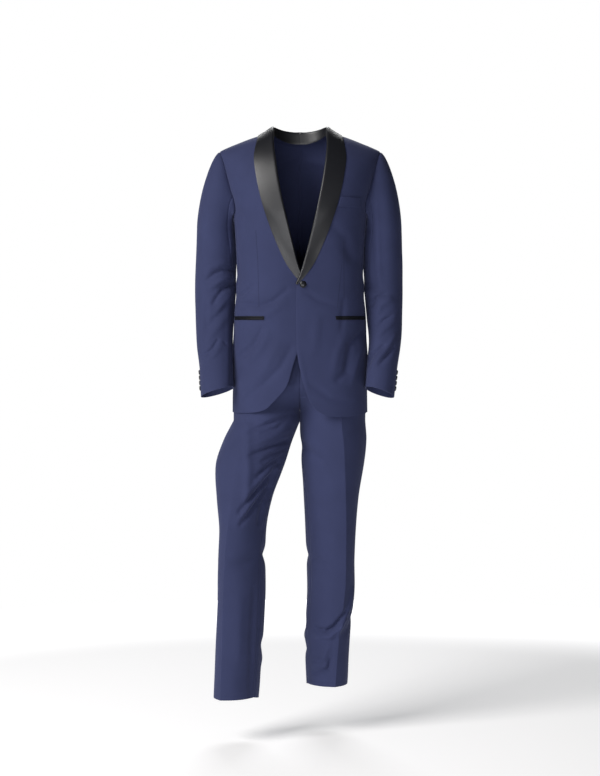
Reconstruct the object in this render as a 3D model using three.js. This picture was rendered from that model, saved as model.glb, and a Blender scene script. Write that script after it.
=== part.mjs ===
// A one-button shawl-collar dinner jacket over its trousers: hollow cloth panels, open at neck, hem, cuffs and ankles.
// Millimetres, +Z up. The front faces -Y and the garment's left side is +X. Heights are above the floor until the
// last lines, which move the origin to the nape, where the suit is held up.
import * as THREE from "three";

// Cloth walls, and the gap that sewn pieces keep.
const JACKET_CLOTH = 1.8;
const TROUSER_CLOTH = 1.4;
const SATIN = 1.2;
const SEAM = 0.3;

// Heights that the panels share.
const POCKET_HEIGHT = 1062;
const BUTTON_HEIGHT = 1146;
const ARMHOLE_HEIGHT = 1330;
const NAPE_HEIGHT = 1512;
const NECK_SIDE_HEIGHT = 1531;
const BACK_HEM = 822;
const ARMHOLE_DIP = 12;

// The jacket's round sections. Half width, then how far the front and the back stand from the side line.
const BODY_ROUNDNESS = 2.4;
const BODY = [
  { z: 810, half: 172, front: 119, back: 120 },
  { z: 930, half: 170.4, front: 119, back: 122 },
  { z: POCKET_HEIGHT, half: 168, front: 115, back: 112 },
  { z: 1150, half: 161.5, front: 112, back: 101 },
  { z: 1240, half: 163, front: 121, back: 108 },
  { z: ARMHOLE_HEIGHT, half: 171, front: 130, back: 118 },
];

// The seams on each side of the side panel, in degrees round from the centre front.
const SIDE_SEAMS = [
  { z: 810, front: 78, back: 107 },
  { z: POCKET_HEIGHT, front: 78.5, back: 108 },
  { z: 1200, front: 76, back: 109 },
  { z: ARMHOLE_HEIGHT, front: 73.4, back: 106.6 },
];

// Above the armholes the panels rise to the shoulder seam. share is how much of the rise is done.
const SHOULDER_ROUNDNESS = 2.2;
const SHOULDER_SEAM_DEPTH = 8;
const NECK_HALF = 69;
const SHOULDER_TOP = 1537;
const NAPE_DEPTH = 58;
const SHOULDER_LINE = [
  { x: 0, z: SHOULDER_TOP },
  { x: NECK_HALF, z: NECK_SIDE_HEIGHT },
  { x: 105, z: 1526 },
  { x: 165, z: 1504 },
  { x: 190, z: 1494 },
  { x: 205, z: 1487 },
];
const ARMHOLE = [
  { share: 0, front: 165, back: 165 },
  { share: 0.17, front: 167, back: 171 },
  { share: 0.28, front: 173, back: 177 },
  { share: 0.45, front: 181, back: 185 },
  { share: 0.64, front: 188.5, back: 192 },
  { share: 0.8, front: 195, back: 197 },
  { share: 1, front: 205, back: 205 },
];

// How much wider a back is at the shoulder seam than at the armhole's foot.
const BACK_SPREAD = ARMHOLE.at(-1).back / ARMHOLE[0].back;

// The front edges, out from the centre line. The left front laps over the right one.
const FRONT_EDGE = {
  left: [
    { z: 852, x: 25 },
    { z: 863, x: 20 },
    { z: 892, x: 10 },
    { z: 928, x: 1 },
    { z: 964, x: -6 },
    { z: 990, x: -9 },
    { z: BUTTON_HEIGHT, x: -9 },
    { z: 1158, x: -4 },
    { z: 1172, x: 2 },
    { z: 1204, x: 12 },
    { z: 1274, x: 30 },
    { z: 1340, x: 45 },
    { z: 1400, x: 57 },
    { z: 1460, x: 66 },
    { z: 1503, x: 70 },
    { z: NECK_SIDE_HEIGHT, x: NECK_HALF },
  ],
  right: [
    { z: 858, x: 60 },
    { z: 867, x: 52 },
    { z: 885, x: 37 },
    { z: 905, x: 28 },
    { z: 927, x: 22 },
    { z: 957, x: 13 },
    { z: 980, x: 5 },
    { z: 1010, x: -5 },
    { z: POCKET_HEIGHT, x: -11 },
    { z: BUTTON_HEIGHT, x: -13 },
    { z: 1158, x: -8 },
    { z: 1172, x: -2 },
    { z: 1204, x: 9 },
    { z: 1274, x: 26 },
    { z: 1340, x: 42 },
    { z: 1400, x: 54 },
    { z: 1460, x: 63 },
    { z: 1503, x: 69 },
    { z: NECK_SIDE_HEIGHT, x: NECK_HALF },
  ],
};
const FRONT_HEM = {
  left: [
    { x: 25, z: 852 },
    { x: 40, z: 831 },
    { x: 72, z: 816 },
    { x: 107, z: 813 },
    { x: 144, z: 816 },
    { x: 172, z: 821 },
  ],
  right: [
    { x: 60, z: 858 },
    { x: 82, z: 835 },
    { x: 109, z: 825 },
    { x: 147, z: 822 },
    { x: 172, z: 822 },
  ],
};

// The lapel's outer edge. Below the button it is only the fronts' fourth column of quads.
const LEAST_LAPEL = 3;
const LAPEL_EDGE = [
  { z: 850, x: 74 },
  { z: POCKET_HEIGHT, x: 42 },
  { z: 1105, x: 20 },
  { z: BUTTON_HEIGHT, x: -5 },
  { z: 1158, x: 5 },
  { z: 1172, x: 17 },
  { z: 1204, x: 38 },
  { z: 1280, x: 71 },
  { z: 1368, x: 99 },
  { z: 1434, x: 112 },
  { z: 1474, x: 115 },
  { z: 1526, x: 105 },
];

// How the rows and columns of the body panels are shared out.
const HEM_ROWS = [0, 0.13, 0.3, 0.48, 0.66, 0.83, 1];
const LEVELS = [1105, BUTTON_HEIGHT, 1158, 1172, 1204, 1240, 1285, ARMHOLE_HEIGHT];
const SHOULDER_ROWS = 8;
const LAPEL_COLUMNS = 4;
const FRONT_COLUMNS = 7;
const BACK_COLUMNS = 5;

// The lap of one front over the other: more where the lapels cross above the button.
const LAP_LIFT = 1.4;
const LAPEL_LAP_LIFT = 3;
const LAP_REACH = 60;
const LAP_ENDS = 100;
const LAPELS_CROSS = { above: 25, near: 20, far: 75 };

// The shawl collar: satin folded round the neck edge, lying on the fronts, standing up at the neck.
const ROLL_LIFT = 2.4;
const FACING_COLUMN = 1;
const LAPEL_GAP = 0.4;
const STAND_STARTS = 2.5;
const STAND_CLEARS = 2;
const SIDE_STAND = 16;
const FALL_BEND = 1.2;
const COLLAR_CLEAR = 1.1;
// Three points of the turn at the neck edge: shares of the lift, of the rolled lift and of the stand.
const COLLAR_TURN = [
  { inside: 1, open: 0, up: 0.45 },
  { inside: 0.6, open: 1, up: 0.9 },
  { rolled: 0.55, open: 1.3, up: 1 },
];
const COLLAR_BACK = [
  { neck: 67.5, edge: 101, share: 0.985, stand: 17 },
  { neck: 60, edge: 89, share: 0.968, stand: 19 },
  { neck: 46, edge: 67, share: 0.95, stand: 22 },
  { neck: 25, edge: 37, share: 0.935, stand: 25 },
  { neck: 0.3, edge: 0.3, share: 0.925, stand: 26 },
];

// The sleeves. Half width and half depth of each section and its middle, and how far it leans down to the outside
// and to the back.
const SLEEVE_ROUNDNESS = 2.15;
const SLEEVE = {
  right: [
    { z: 1285, x: 216, y: 8, half: 47, depth: 62, out: 0, back: 0 },
    { z: 1210, x: 215.9, y: 10, half: 50.1, depth: 58, out: 0, back: 0 },
    { z: 1140, x: 216.8, y: 13, half: 51.7, depth: 55, out: 0, back: 0 },
    { z: 1060, x: 219.2, y: 3, half: 47.3, depth: 51, out: 2, back: 2 },
    { z: 1000, x: 219, y: -13, half: 44, depth: 48, out: 5, back: 5 },
    { z: 940, x: 214, y: -32, half: 41, depth: 46, out: 9, back: 7 },
    { z: 874, x: 210, y: -50, half: 41, depth: 45, out: 12, back: 8 },
  ],
  left: [
    { z: 1285, x: 214, y: 8, half: 45.5, depth: 62, out: 0, back: 0 },
    { z: 1210, x: 213.5, y: 10, half: 48.5, depth: 58, out: 0, back: 0 },
    { z: 1140, x: 214.2, y: 13, half: 48.3, depth: 55, out: 0, back: 0 },
    { z: 1060, x: 217, y: 1, half: 44, depth: 51, out: 2, back: 2 },
    { z: 1000, x: 216.5, y: -18, half: 40, depth: 48, out: 5, back: 5 },
    { z: 940, x: 208.6, y: -40, half: 37.4, depth: 46, out: 9, back: 7 },
    { z: 874, x: 202, y: -60, half: 36, depth: 45, out: 12, back: 9 },
  ],
};
// Where the sleeve's two seams run, in degrees from the outside, round by the front.
const SLEEVE_SEAMS = [
  { z: 874, front: 168, back: 334 },
  { z: 1000, front: 158, back: 318 },
  { z: 1140, front: 146, back: 286 },
  { z: 1285, front: 130, back: 246 },
  { z: 1340, front: 126, back: 234 },
];
const CAP_ROWS = [0, 0.1, 0.22, 0.37, 0.55, 0.77, 1];
const SLEEVE_ROWS = [1285, 1255, 1225, 1195, 1165, 1140, 1112, 1082, 1050, 1015, 980, 945, 910, 874];
const RING_STEPS = 20;
const TOP_SLEEVE_STEPS = 14;
const ARMHOLE_STEPS = 8;
const CAP_REACH = { top: 15, front: 13, bottom: 5 };
const CAP_RISE = 3;
const CAP_GAP = 1.2;
const CAP_DROP = { outside: 95, inside: 18 };
const CAP_RISE_ENDS = 0.4;
const CAP_TUCK = { starts: 0.75, whole: 0.98 };

// The trousers. The front crease turns outwards by turn degrees.
const CROTCH_HEIGHT = 800;
const RISE_BLEND = 95;
const WAIST_SEAM = 990;
const WAISTBAND_TOP = 1028;
const LEG = {
  right: [
    { z: 112, x: 160.5, y: -118, length: 72, across: 51.5, turn: 29 },
    { z: 250, x: 152.5, y: -112, length: 75, across: 53, turn: 31 },
    { z: 360, x: 147, y: -105, length: 77, across: 52.5, turn: 33 },
    { z: 450, x: 146.5, y: -98, length: 78, across: 53, turn: 30 },
    { z: 530, x: 144, y: -88, length: 80, across: 54, turn: 26 },
    { z: 610, x: 139, y: -68, length: 87, across: 68, turn: 20 },
    { z: 690, x: 125.5, y: -40, length: 96, across: 86, turn: 19 },
    { z: 750, x: 107, y: -16, length: 99, across: 87, turn: 12 },
    { z: CROTCH_HEIGHT, x: 84.7, y: 0, length: 98, across: 84.8, turn: 3 },
  ],
  left: [
    { z: 122, x: 69.5, y: 12, length: 69, across: 51.5, turn: 16 },
    { z: 250, x: 71, y: 8, length: 72, across: 56.5, turn: 22 },
    { z: 360, x: 79, y: 4, length: 75, across: 58, turn: 26 },
    { z: 450, x: 78, y: 0, length: 78, across: 58, turn: 28 },
    { z: 530, x: 78.5, y: -2, length: 81, across: 62, turn: 27 },
    { z: 610, x: 80, y: 0, length: 87, across: 68.5, turn: 23 },
    { z: 690, x: 84.5, y: 3, length: 93, across: 79.5, turn: 17 },
    { z: 750, x: 86, y: 4, length: 97, across: 84, turn: 13.5 },
    { z: CROTCH_HEIGHT, x: 84.9, y: 3, length: 97, across: 84.4, turn: 12 },
  ],
};
const LEG_ROUNDNESS = 1.85;
const CREASE_HEIGHT = 4;
const CREASE_REACH = 26;
const HEM_DROP = 13;
const HEM_DROP_REACH = 140;
const SEAT_ROUNDNESS = 2.3;
const SEAT = [
  { z: CROTCH_HEIGHT, half: 169.7, front: 101, back: 112 },
  { z: 860, half: 166.4, front: 101, back: 112 },
  { z: 920, half: 159, front: 98, back: 106 },
  { z: WAIST_SEAM, half: 147, front: 93, back: 92 },
  { z: WAISTBAND_TOP, half: 146, front: 92, back: 88 },
];
const LEG_ROWS = [162, 212, 262, 312, 362, 412, 462, 512, 562, 612, 660, 705, 745, 778];
const RISE_ROWS = [CROTCH_HEIGHT, 812, 828, 848, 872, 905, 945, WAIST_SEAM];
const LEG_COLUMNS = 8;
const WAISTBAND_STEPS = 36;
const INSEAM_CLEAR = 1.3;
const INSEAM_JOINS = 30;
const FLY = { rows: 3, lift: 0.5 };

// The largest folds, as troughs (under 0) and ridges along a line from one point to another. side is degrees round
// the tube, z the height, wide how far it spreads. A fold fades towards its ends.
const FOLD_FADES = { from: 0.12, to: 0.88 };
const SLEEVE_FOLDS = [
  { side: 100, z: 1128, toSide: 200, toZ: 1160, wide: 13, deep: -4.5 },
  { side: 60, z: 1100, toSide: 170, toZ: 1136, wide: 12, deep: 3.5 },
  { side: 20, z: 972, toSide: 140, toZ: 1012, wide: 13, deep: -3.5 },
  { side: 235, z: 1205, toSide: 320, toZ: 1180, wide: 14, deep: -3 },
];
const LEG_FOLDS = {
  right: [
    { side: 8, z: 745, toSide: 66, toZ: 712, wide: 14, deep: -4.5 },
    { side: 5, z: 690, toSide: 75, toZ: 655, wide: 13, deep: -4 },
    { side: 5, z: 640, toSide: 85, toZ: 560, wide: 14, deep: -5.5 },
    { side: 0, z: 600, toSide: 72, toZ: 530, wide: 13, deep: 4 },
    { side: 275, z: 450, toSide: 350, toZ: 480, wide: 16, deep: -5 },
  ],
  left: [
    { side: 20, z: 268, toSide: 120, toZ: 292, wide: 15, deep: -5 },
    { side: 35, z: 160, toSide: 80, toZ: 205, wide: 13, deep: -3.5 },
    { side: 250, z: 300, toSide: 330, toZ: 275, wide: 16, deep: -5 },
    { side: 262, z: 690, toSide: 345, toZ: 735, wide: 16, deep: -4 },
  ],
};

// Small pieces.
const JET = { from: 1.25, to: 1.97, height: 4.4, lift: 0.4, thick: 1.2 };
const WELT = { from: 1.03, to: 1.64, bottom: 1340, height: 25, lift: 0.5, thick: 1.6 };
const FRONT_BUTTON = { x: 7.5, radius: 8.8, thick: 4.2, crown: 0.5 };
const CUFF_BUTTON = { radius: 6.2, thick: 3.4, dish: 0.8, pitch: 12.8, lowest: 22, ahead: 13, count: 4 };
const BUTTON_GAP = 0.35;

const BLUE_WOOL = { color: 0x252c55, roughness: 0.85, metalness: 0 };
const BLACK_SATIN = { color: 0x14171c, roughness: 0.35, metalness: 0 };
const BLACK_HORN = { color: 0x0c0d10, roughness: 0.3, metalness: 0 };

const radians = THREE.MathUtils.degToRad;
const mix = THREE.MathUtils.lerp;
const ease = THREE.MathUtils.smoothstep;
const SIDES = [
  { name: "left", sign: 1 },
  { name: "right", sign: -1 },
];

// A smooth curve through one column of a table.
function read(rows, key, at, column) {
  const last = rows.length - 1;
  if (at <= rows[0][key]) return rows[0][column];
  if (at >= rows[last][key]) return rows[last][column];
  let i = 0;
  while (rows[i + 1][key] < at) i += 1;
  const slope = (k) => {
    const before = rows[Math.max(k - 1, 0)];
    const after = rows[Math.min(k + 1, last)];
    return (after[column] - before[column]) / (after[key] - before[key]);
  };
  const step = rows[i + 1][key] - rows[i][key];
  const t = (at - rows[i][key]) / step;
  const start = rows[i][column];
  const end = rows[i + 1][column];
  const bend = t * (1 - t) * step;
  return mix(start, end, t * t * (3 - 2 * t)) + bend * ((1 - t) * slope(i) - t * slope(i + 1));
}

// A point of a rounded-square outline: angle 0 is its first half-size, 90 degrees its second.
function rounded(angle, roundness) {
  const c = Math.cos(angle);
  const s = Math.sin(angle);
  const power = 2 / roundness;
  return [Math.sign(c) * Math.abs(c) ** power, Math.sign(s) * Math.abs(s) ** power];
}

// How far the folds move a point of a tube whose mean radius is given.
function foldHeight(folds, degrees, z, radius) {
  let sum = 0;
  for (const fold of folds) {
    const arc = radians(1) * radius;
    const run = new THREE.Vector2((fold.toSide - fold.side) * arc, fold.toZ - fold.z);
    let turned = degrees - fold.side;
    if (turned > 180) turned -= 360;
    if (turned < -180) turned += 360;
    const from = new THREE.Vector2(turned * arc, z - fold.z);
    const along = THREE.MathUtils.clamp(from.dot(run) / run.lengthSq(), 0, 1);
    const away = from.distanceTo(run.clone().multiplyScalar(along)) / fold.wide;
    const taper = Math.sin(Math.PI * mix(FOLD_FADES.from, FOLD_FADES.to, along));
    sum += fold.deep * taper * Math.exp(-away * away);
  }
  return sum;
}

// The jacket's body, at a height and an angle from the centre front, on the +X side.
function bodyPoint(z, angle) {
  const [toFront, toSide] = rounded(angle, BODY_ROUNDNESS);
  const deep = read(BODY, "z", z, toFront > 0 ? "front" : "back");
  return new THREE.Vector3(read(BODY, "z", z, "half") * toSide, -deep * toFront, z);
}

function bodyAngle(z, x) {
  const share = Math.abs(x) / read(BODY, "z", z, "half");
  return Math.sign(x) * Math.asin(Math.min(1, share ** (BODY_ROUNDNESS / 2)));
}

function seamAngle(z, seam) {
  return radians(read(SIDE_SEAMS, "z", z, seam));
}

// The point above the armholes for a place across and a share of the rise.
function shoulderPoint(x, baseDepth, share, flat, seamDepth) {
  const top = read(SHOULDER_LINE, "x", Math.abs(x), "z");
  return new THREE.Vector3(
    x,
    seamDepth + (baseDepth - seamDepth) * flat,
    mix(ARMHOLE_HEIGHT, top, share),
  );
}

// rise runs from 0 at the armholes to 1 at the shoulder seam.
function riseShares(rise) {
  const [flat, share] = rounded((rise * Math.PI) / 2, SHOULDER_ROUNDNESS);
  return { flat: Math.max(flat, 0), share: Math.min(share, 1) };
}

function lapLift(side, x, z) {
  const sideways = 1 - ease(Math.abs(x), 0, LAP_REACH);
  const fromCrossing = Math.abs(z - BUTTON_HEIGHT - LAPELS_CROSS.above);
  const crossing = 1 - ease(fromCrossing, LAPELS_CROSS.near, LAPELS_CROSS.far);
  const below = 1 - ease(z, BUTTON_HEIGHT, BUTTON_HEIGHT + LAP_ENDS);
  const lift = sideways * (LAP_LIFT * below + LAPEL_LAP_LIFT * crossing);
  return side === "left" ? lift : -lift;
}

// A front: across is 0 at the front edge, 1 at the lapel's edge and 2 at the side seam or the armhole. up is 0 at
// the hem, 1 at the pocket, 2 at the armhole and 3 at the shoulder seam.
function frontPoint(side, across, up) {
  const edgeRows = FRONT_EDGE[side];
  const hemCorner = edgeRows[0];
  const lapelAt = (z) =>
    Math.max(read(LAPEL_EDGE, "z", z, "x"), read(edgeRows, "z", z, "x") + LEAST_LAPEL);
  const levelX = (z) => {
    if (across <= 1) return mix(read(edgeRows, "z", z, "x"), lapelAt(z), across);
    const angle = mix(bodyAngle(z, lapelAt(z)), seamAngle(z, "front"), across - 1);
    return bodyPoint(z, angle).x;
  };
  if (up <= 2) {
    let z = mix(POCKET_HEIGHT, ARMHOLE_HEIGHT, up - 1);
    if (up < 1) {
      const bottom = across < 1 ? mix(hemCorner.x, lapelAt(hemCorner.z), across) : levelX(hemCorner.z);
      z = mix(read(FRONT_HEM[side], "x", bottom, "z"), POCKET_HEIGHT, up);
    }
    const x = levelX(z);
    const point = bodyPoint(z, bodyAngle(z, x));
    point.y -= lapLift(side, x, z);
    return point;
  }
  const { flat, share } = riseShares(up - 2);
  const baseX = levelX(ARMHOLE_HEIGHT);
  const base = bodyPoint(ARMHOLE_HEIGHT, bodyAngle(ARMHOLE_HEIGHT, baseX));
  const heightNear = (x) => mix(ARMHOLE_HEIGHT, read(SHOULDER_LINE, "x", x, "z"), share);
  const inner = read(edgeRows, "z", heightNear(NECK_HALF), "x");
  const lapel = read(LAPEL_EDGE, "z", heightNear(105), "x");
  let x = mix(inner, lapel, across);
  if (across > 1) {
    const start = lapelAt(ARMHOLE_HEIGHT);
    const end = read(ARMHOLE, "share", 0, "front");
    x = mix(lapel, read(ARMHOLE, "share", share, "front"), (baseX - start) / (end - start));
  }
  return shoulderPoint(x, base.y, share, flat, SHOULDER_SEAM_DEPTH);
}

function sidePoint(across, up) {
  const top = ARMHOLE_HEIGHT - ARMHOLE_DIP * Math.max(0, Math.sin(Math.PI * across));
  const z = up < 1 ? mix(BACK_HEM, POCKET_HEIGHT, up) : mix(POCKET_HEIGHT, top, up - 1);
  return bodyPoint(z, mix(seamAngle(z, "front"), seamAngle(z, "back"), across));
}

// A point of a back above the armholes. The neckline is hollowed out of the shoulder line.
function upperBack(x, baseX, rise) {
  const { flat, share } = riseShares(rise);
  const base = bodyPoint(ARMHOLE_HEIGHT, Math.PI - bodyAngle(ARMHOLE_HEIGHT, baseX));
  const inNeck = Math.min(x / NECK_HALF, 1);
  const hollow = Math.sqrt(Math.max(0, 1 - inNeck * inNeck));
  const depth = SHOULDER_SEAM_DEPTH + (NAPE_DEPTH - SHOULDER_SEAM_DEPTH) * hollow * share * share;
  const point = shoulderPoint(x, base.y, share, flat, depth);
  point.z -= (SHOULDER_TOP - NAPE_HEIGHT) * (1 - inNeck * inNeck) * share ** 3;
  return point;
}

// A back: across is 0 at the centre-back seam and 1 at the side seam, up goes as on the fronts.
function backPoint(across, up) {
  if (up <= 2) {
    const z = up < 1 ? mix(BACK_HEM, POCKET_HEIGHT, up) : mix(POCKET_HEIGHT, ARMHOLE_HEIGHT, up - 1);
    return bodyPoint(z, mix(Math.PI, seamAngle(z, "back"), across));
  }
  const baseX = bodyPoint(ARMHOLE_HEIGHT, mix(Math.PI, seamAngle(ARMHOLE_HEIGHT, "back"), across)).x;
  const { share } = riseShares(up - 2);
  const spread = read(ARMHOLE, "share", share, "back") / read(ARMHOLE, "share", 0, "back");
  return upperBack(baseX * spread, baseX, up - 2);
}

// The column of a back that meets its neckline x out from the centre.
function backColumn(x) {
  const angle = bodyAngle(ARMHOLE_HEIGHT, x / BACK_SPREAD);
  return angle / (Math.PI - seamAngle(ARMHOLE_HEIGHT, "back"));
}

// The armhole's edge, from the shoulder point down the front, under the arm and up the back.
function armholePoint(step) {
  const underStep = step - ARMHOLE_STEPS;
  const underSteps = RING_STEPS - 2 * ARMHOLE_STEPS;
  if (underStep <= 0) return frontPoint("left", 2, 3 - step / ARMHOLE_STEPS);
  if (underStep < underSteps) return sidePoint(underStep / underSteps, 2);
  return backPoint(1, 2 + (underStep - underSteps) / ARMHOLE_STEPS);
}

function sleeveSection(side, degrees, z) {
  const rows = SLEEVE[side];
  const value = (column) => read(rows.slice().reverse(), "z", z, column);
  const [outwards, forwards] = rounded(radians(degrees), SLEEVE_ROUNDNESS);
  const fold = foldHeight(SLEEVE_FOLDS, degrees, z, value("half"));
  const half = value("half") + fold;
  const depth = value("depth") + fold;
  return new THREE.Vector3(
    value("x") + half * outwards,
    value("y") - depth * forwards,
    z - value("out") * outwards + value("back") * forwards,
  );
}

// The cap: a curve from the armhole out over the arm and down to the first full section.
function capPoint(side, step, share) {
  const degrees = (step * 360) / RING_STEPS;
  const start = armholePoint(((step % RING_STEPS) + RING_STEPS) % RING_STEPS);
  const lower = (1 - Math.cos(radians(degrees))) / 2;
  const inFront = Math.abs(Math.sin(radians(degrees)));
  const tuck = JACKET_CLOTH * ease(lower, CAP_TUCK.starts, CAP_TUCK.whole);
  start.x += CAP_GAP + tuck;
  start.z -= tuck;
  const reach = mix(mix(CAP_REACH.top, CAP_REACH.bottom, lower), CAP_REACH.front, inFront);
  const rise = CAP_RISE * (1 - ease(lower, 0, CAP_RISE_ENDS));
  const end = sleeveSection(side, degrees, SLEEVE[side][0].z);
  const out = start.clone().add(new THREE.Vector3(reach, 0, rise));
  const above = end.clone().add(new THREE.Vector3(0, 0, mix(CAP_DROP.outside, CAP_DROP.inside, lower)));
  return new THREE.CubicBezierCurve3(start, out, above, end).getPoint(share);
}

// A crease-to-crease trouser leg section. degrees is 0 at the inseam, 90 at the front crease, 180 at the outseam.
function legSection(side, degrees, z) {
  const value = (column) => read(LEG[side], "z", z, column);
  const [across, along] = rounded(radians(degrees), LEG_ROUNDNESS);
  const fromCrease = Math.abs(Math.abs(degrees - 180) - 90);
  const crease = CREASE_HEIGHT * Math.max(0, 1 - fromCrease / CREASE_REACH) ** 2;
  const fold = foldHeight(LEG_FOLDS[side], degrees, z, (value("length") + value("across")) / 2);
  const outwards = -(value("across") + fold) * across;
  const forwards = (value("length") + fold + crease) * along;
  const turn = radians(value("turn"));
  return new THREE.Vector3(
    value("x") + outwards * Math.cos(turn) + forwards * Math.sin(turn),
    value("y") + outwards * Math.sin(turn) - forwards * Math.cos(turn),
    z,
  );
}

function seatSection(degrees, z) {
  const [toFront, toSide] = rounded(radians(degrees / 2), SEAT_ROUNDNESS);
  const deep = read(SEAT, "z", z, toFront > 0 ? "front" : "back");
  return new THREE.Vector3(read(SEAT, "z", z, "half") * toSide, -deep * toFront, z);
}

function legPoint(side, degrees, z) {
  const seat = ease(z, CROTCH_HEIGHT, CROTCH_HEIGHT + RISE_BLEND);
  const point = legSection(side, degrees, z).lerp(seatSection(degrees, z), seat);
  const joined = ease(z, CROTCH_HEIGHT, CROTCH_HEIGHT + INSEAM_JOINS);
  const least = mix(INSEAM_CLEAR, SEAM / 2, joined);
  point.x = Math.max(point.x, least);
  const hem = 1 - ease(z, LEG[side][0].z, LEG[side][0].z + HEM_DROP_REACH);
  point.z -= HEM_DROP * hem * Math.max(0, -Math.sin(radians(degrees)));
  return point;
}

// A grid of points from lists of rows and columns.
function gridOf(rows, columns, pointAt) {
  return rows.map((row) => columns.map((column) => pointAt(row, column)));
}

function evenly(from, to, steps) {
  return Array.from({ length: steps + 1 }, (_, i) => mix(from, to, i / steps));
}

// Moves the edges of a grid in by half a seam. Shoulder seams, whose corners don't meet, take a little more.
const SHOULDER_PULL = 0.24;
function trimSeams(grid, edges) {
  const lastRow = grid.length - 1;
  const lastColumn = grid[0].length - 1;
  const pull = (edge, inner, by = SEAM / 2) => edge.addScaledVector(inner.clone().sub(edge).normalize(), by);
  if (edges.includes("first column")) for (const row of grid) pull(row[0], row[1]);
  if (edges.includes("last column")) for (const row of grid) pull(row[lastColumn], row[lastColumn - 1]);
  for (let j = 0; j <= lastColumn; j += 1) {
    if (edges.includes("last row")) pull(grid[lastRow][j], grid[lastRow - 1][j], SHOULDER_PULL);
  }
  return grid;
}

// Which way the outside lies at each point of a grid. across gives the direction along a row.
function gridNormals(grid, across) {
  const lastRow = grid.length - 1;
  return grid.map((row, i) =>
    row.map((_, j) => {
      const alongRows = grid[Math.min(i + 1, lastRow)][j].clone().sub(grid[Math.max(i - 1, 0)][j]);
      return across(i, j).cross(alongRows).normalize();
    }),
  );
}

// A panel: middle points and normals from surface(row, column). The direction along a row comes from the surface
// itself, past the panel's edge too, so that two panels agree at the seam between them.
function panelOf(rows, columns, surface, seams) {
  const step = (columns.at(-1) - columns[0]) * 0.002;
  const points = gridOf(rows, columns, surface);
  const across = (i, j) =>
    surface(rows[i], columns[j] + step).sub(surface(rows[i], columns[j] - step));
  const normals = gridNormals(points, across);
  return { points: trimSeams(points, seams), normals };
}

// A closed wall on a grid of middle points. Its outside is on the side of the grid's normals.
function wallGeometry(grid, normals, outer, inner, mirrored) {
  const rows = grid.length;
  const columns = grid[0].length;
  const points = [];
  for (const lift of [outer, -inner]) {
    grid.forEach((row, i) =>
      row.forEach((point, j) => {
        const moved = point.clone().addScaledVector(normals[i][j], lift);
        points.push(mirrored ? -moved.x : moved.x, moved.y, moved.z);
      }),
    );
  }
  const faces = [];
  const quad = (a, b, c, d) => faces.push(...(mirrored ? [a, c, b, a, d, c] : [a, b, c, a, c, d]));
  const top = (i, j) => i * columns + j;
  const under = (i, j) => rows * columns + i * columns + j;
  for (let i = 0; i + 1 < rows; i += 1) {
    for (let j = 0; j + 1 < columns; j += 1) {
      quad(top(i, j), top(i, j + 1), top(i + 1, j + 1), top(i + 1, j));
      quad(under(i, j), under(i + 1, j), under(i + 1, j + 1), under(i, j + 1));
    }
    quad(top(i, 0), top(i + 1, 0), under(i + 1, 0), under(i, 0));
    quad(top(i, columns - 1), under(i, columns - 1), under(i + 1, columns - 1), top(i + 1, columns - 1));
  }
  for (let j = 0; j + 1 < columns; j += 1) {
    quad(top(0, j + 1), top(0, j), under(0, j), under(0, j + 1));
    quad(top(rows - 1, j), top(rows - 1, j + 1), under(rows - 1, j + 1), under(rows - 1, j));
  }
  const geometry = new THREE.BufferGeometry();
  geometry.setAttribute("position", new THREE.Float32BufferAttribute(points, 3));
  geometry.setIndex(faces);
  geometry.computeVertexNormals();
  return geometry;
}

function named(name, geometry, finish) {
  const mesh = new THREE.Mesh(geometry, new THREE.MeshStandardMaterial(finish));
  mesh.name = name;
  return mesh;
}

function wall(name, panel, thick, finish, mirrored) {
  const geometry = wallGeometry(panel.points, panel.normals, thick / 2, thick / 2, mirrored);
  return named(name, geometry, finish);
}

function bodyRows(top) {
  const levels = LEVELS.map((z) => 1 + (z - POCKET_HEIGHT) / (ARMHOLE_HEIGHT - POCKET_HEIGHT));
  const upper = evenly(2, 3, SHOULDER_ROWS).slice(1);
  return [...HEM_ROWS, ...levels, ...upper].filter((up) => up <= top);
}

function frontColumns() {
  return [...evenly(0, 1, LAPEL_COLUMNS), ...evenly(1, 2, FRONT_COLUMNS).slice(1)];
}

// A front or a back. At the shoulder seam both walls end in one upright plane.
function shoulderPanel(columns, surface, seams) {
  const panel = panelOf(bodyRows(3), columns, surface, seams);
  for (const normal of panel.normals.at(-1)) normal.setY(0).normalize();
  return panel;
}

function frontPanel(side) {
  const surface = (up, across) => frontPoint(side, across, up);
  return shoulderPanel(frontColumns(), surface, ["last column", "last row"]);
}

// A point on a grid of flat quads, between its rows and columns.
function onGrid(grid, row, column) {
  const i = Math.min(Math.floor(row), grid.length - 2);
  const j = Math.min(Math.floor(column), grid[0].length - 2);
  const low = grid[i][j].clone().lerp(grid[i][j + 1], column - j);
  const high = grid[i + 1][j].clone().lerp(grid[i + 1][j + 1], column - j);
  return low.lerp(high, row - i);
}

// A strip that lies along a panel, made from the panel's own points, between two distances from its middle.
function patch(name, panel, rows, columns, [inner, outer], finish, mirrored) {
  const points = gridOf(rows, columns, (row, column) => onGrid(panel.points, row, column));
  const ways = gridOf(rows, columns, (row, column) => onGrid(panel.normals, row, column).normalize());
  return named(name, wallGeometry(points, ways, outer, -inner, mirrored), finish);
}

function layerOf({ lift, thick }) {
  return [JACKET_CLOTH / 2 + lift, JACKET_CLOTH / 2 + lift + thick];
}

// The places from one column to another, with each of the panel's own columns between them.
function columnsBetween(from, to) {
  const inner = evenly(0, LAPEL_COLUMNS + FRONT_COLUMNS, LAPEL_COLUMNS + FRONT_COLUMNS);
  const places = [from, ...inner.filter((column) => column > from && column < to), to];
  return places.flatMap((place, i) => (i === 0 ? [place] : [(places[i - 1] + place) / 2, place]));
}

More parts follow.
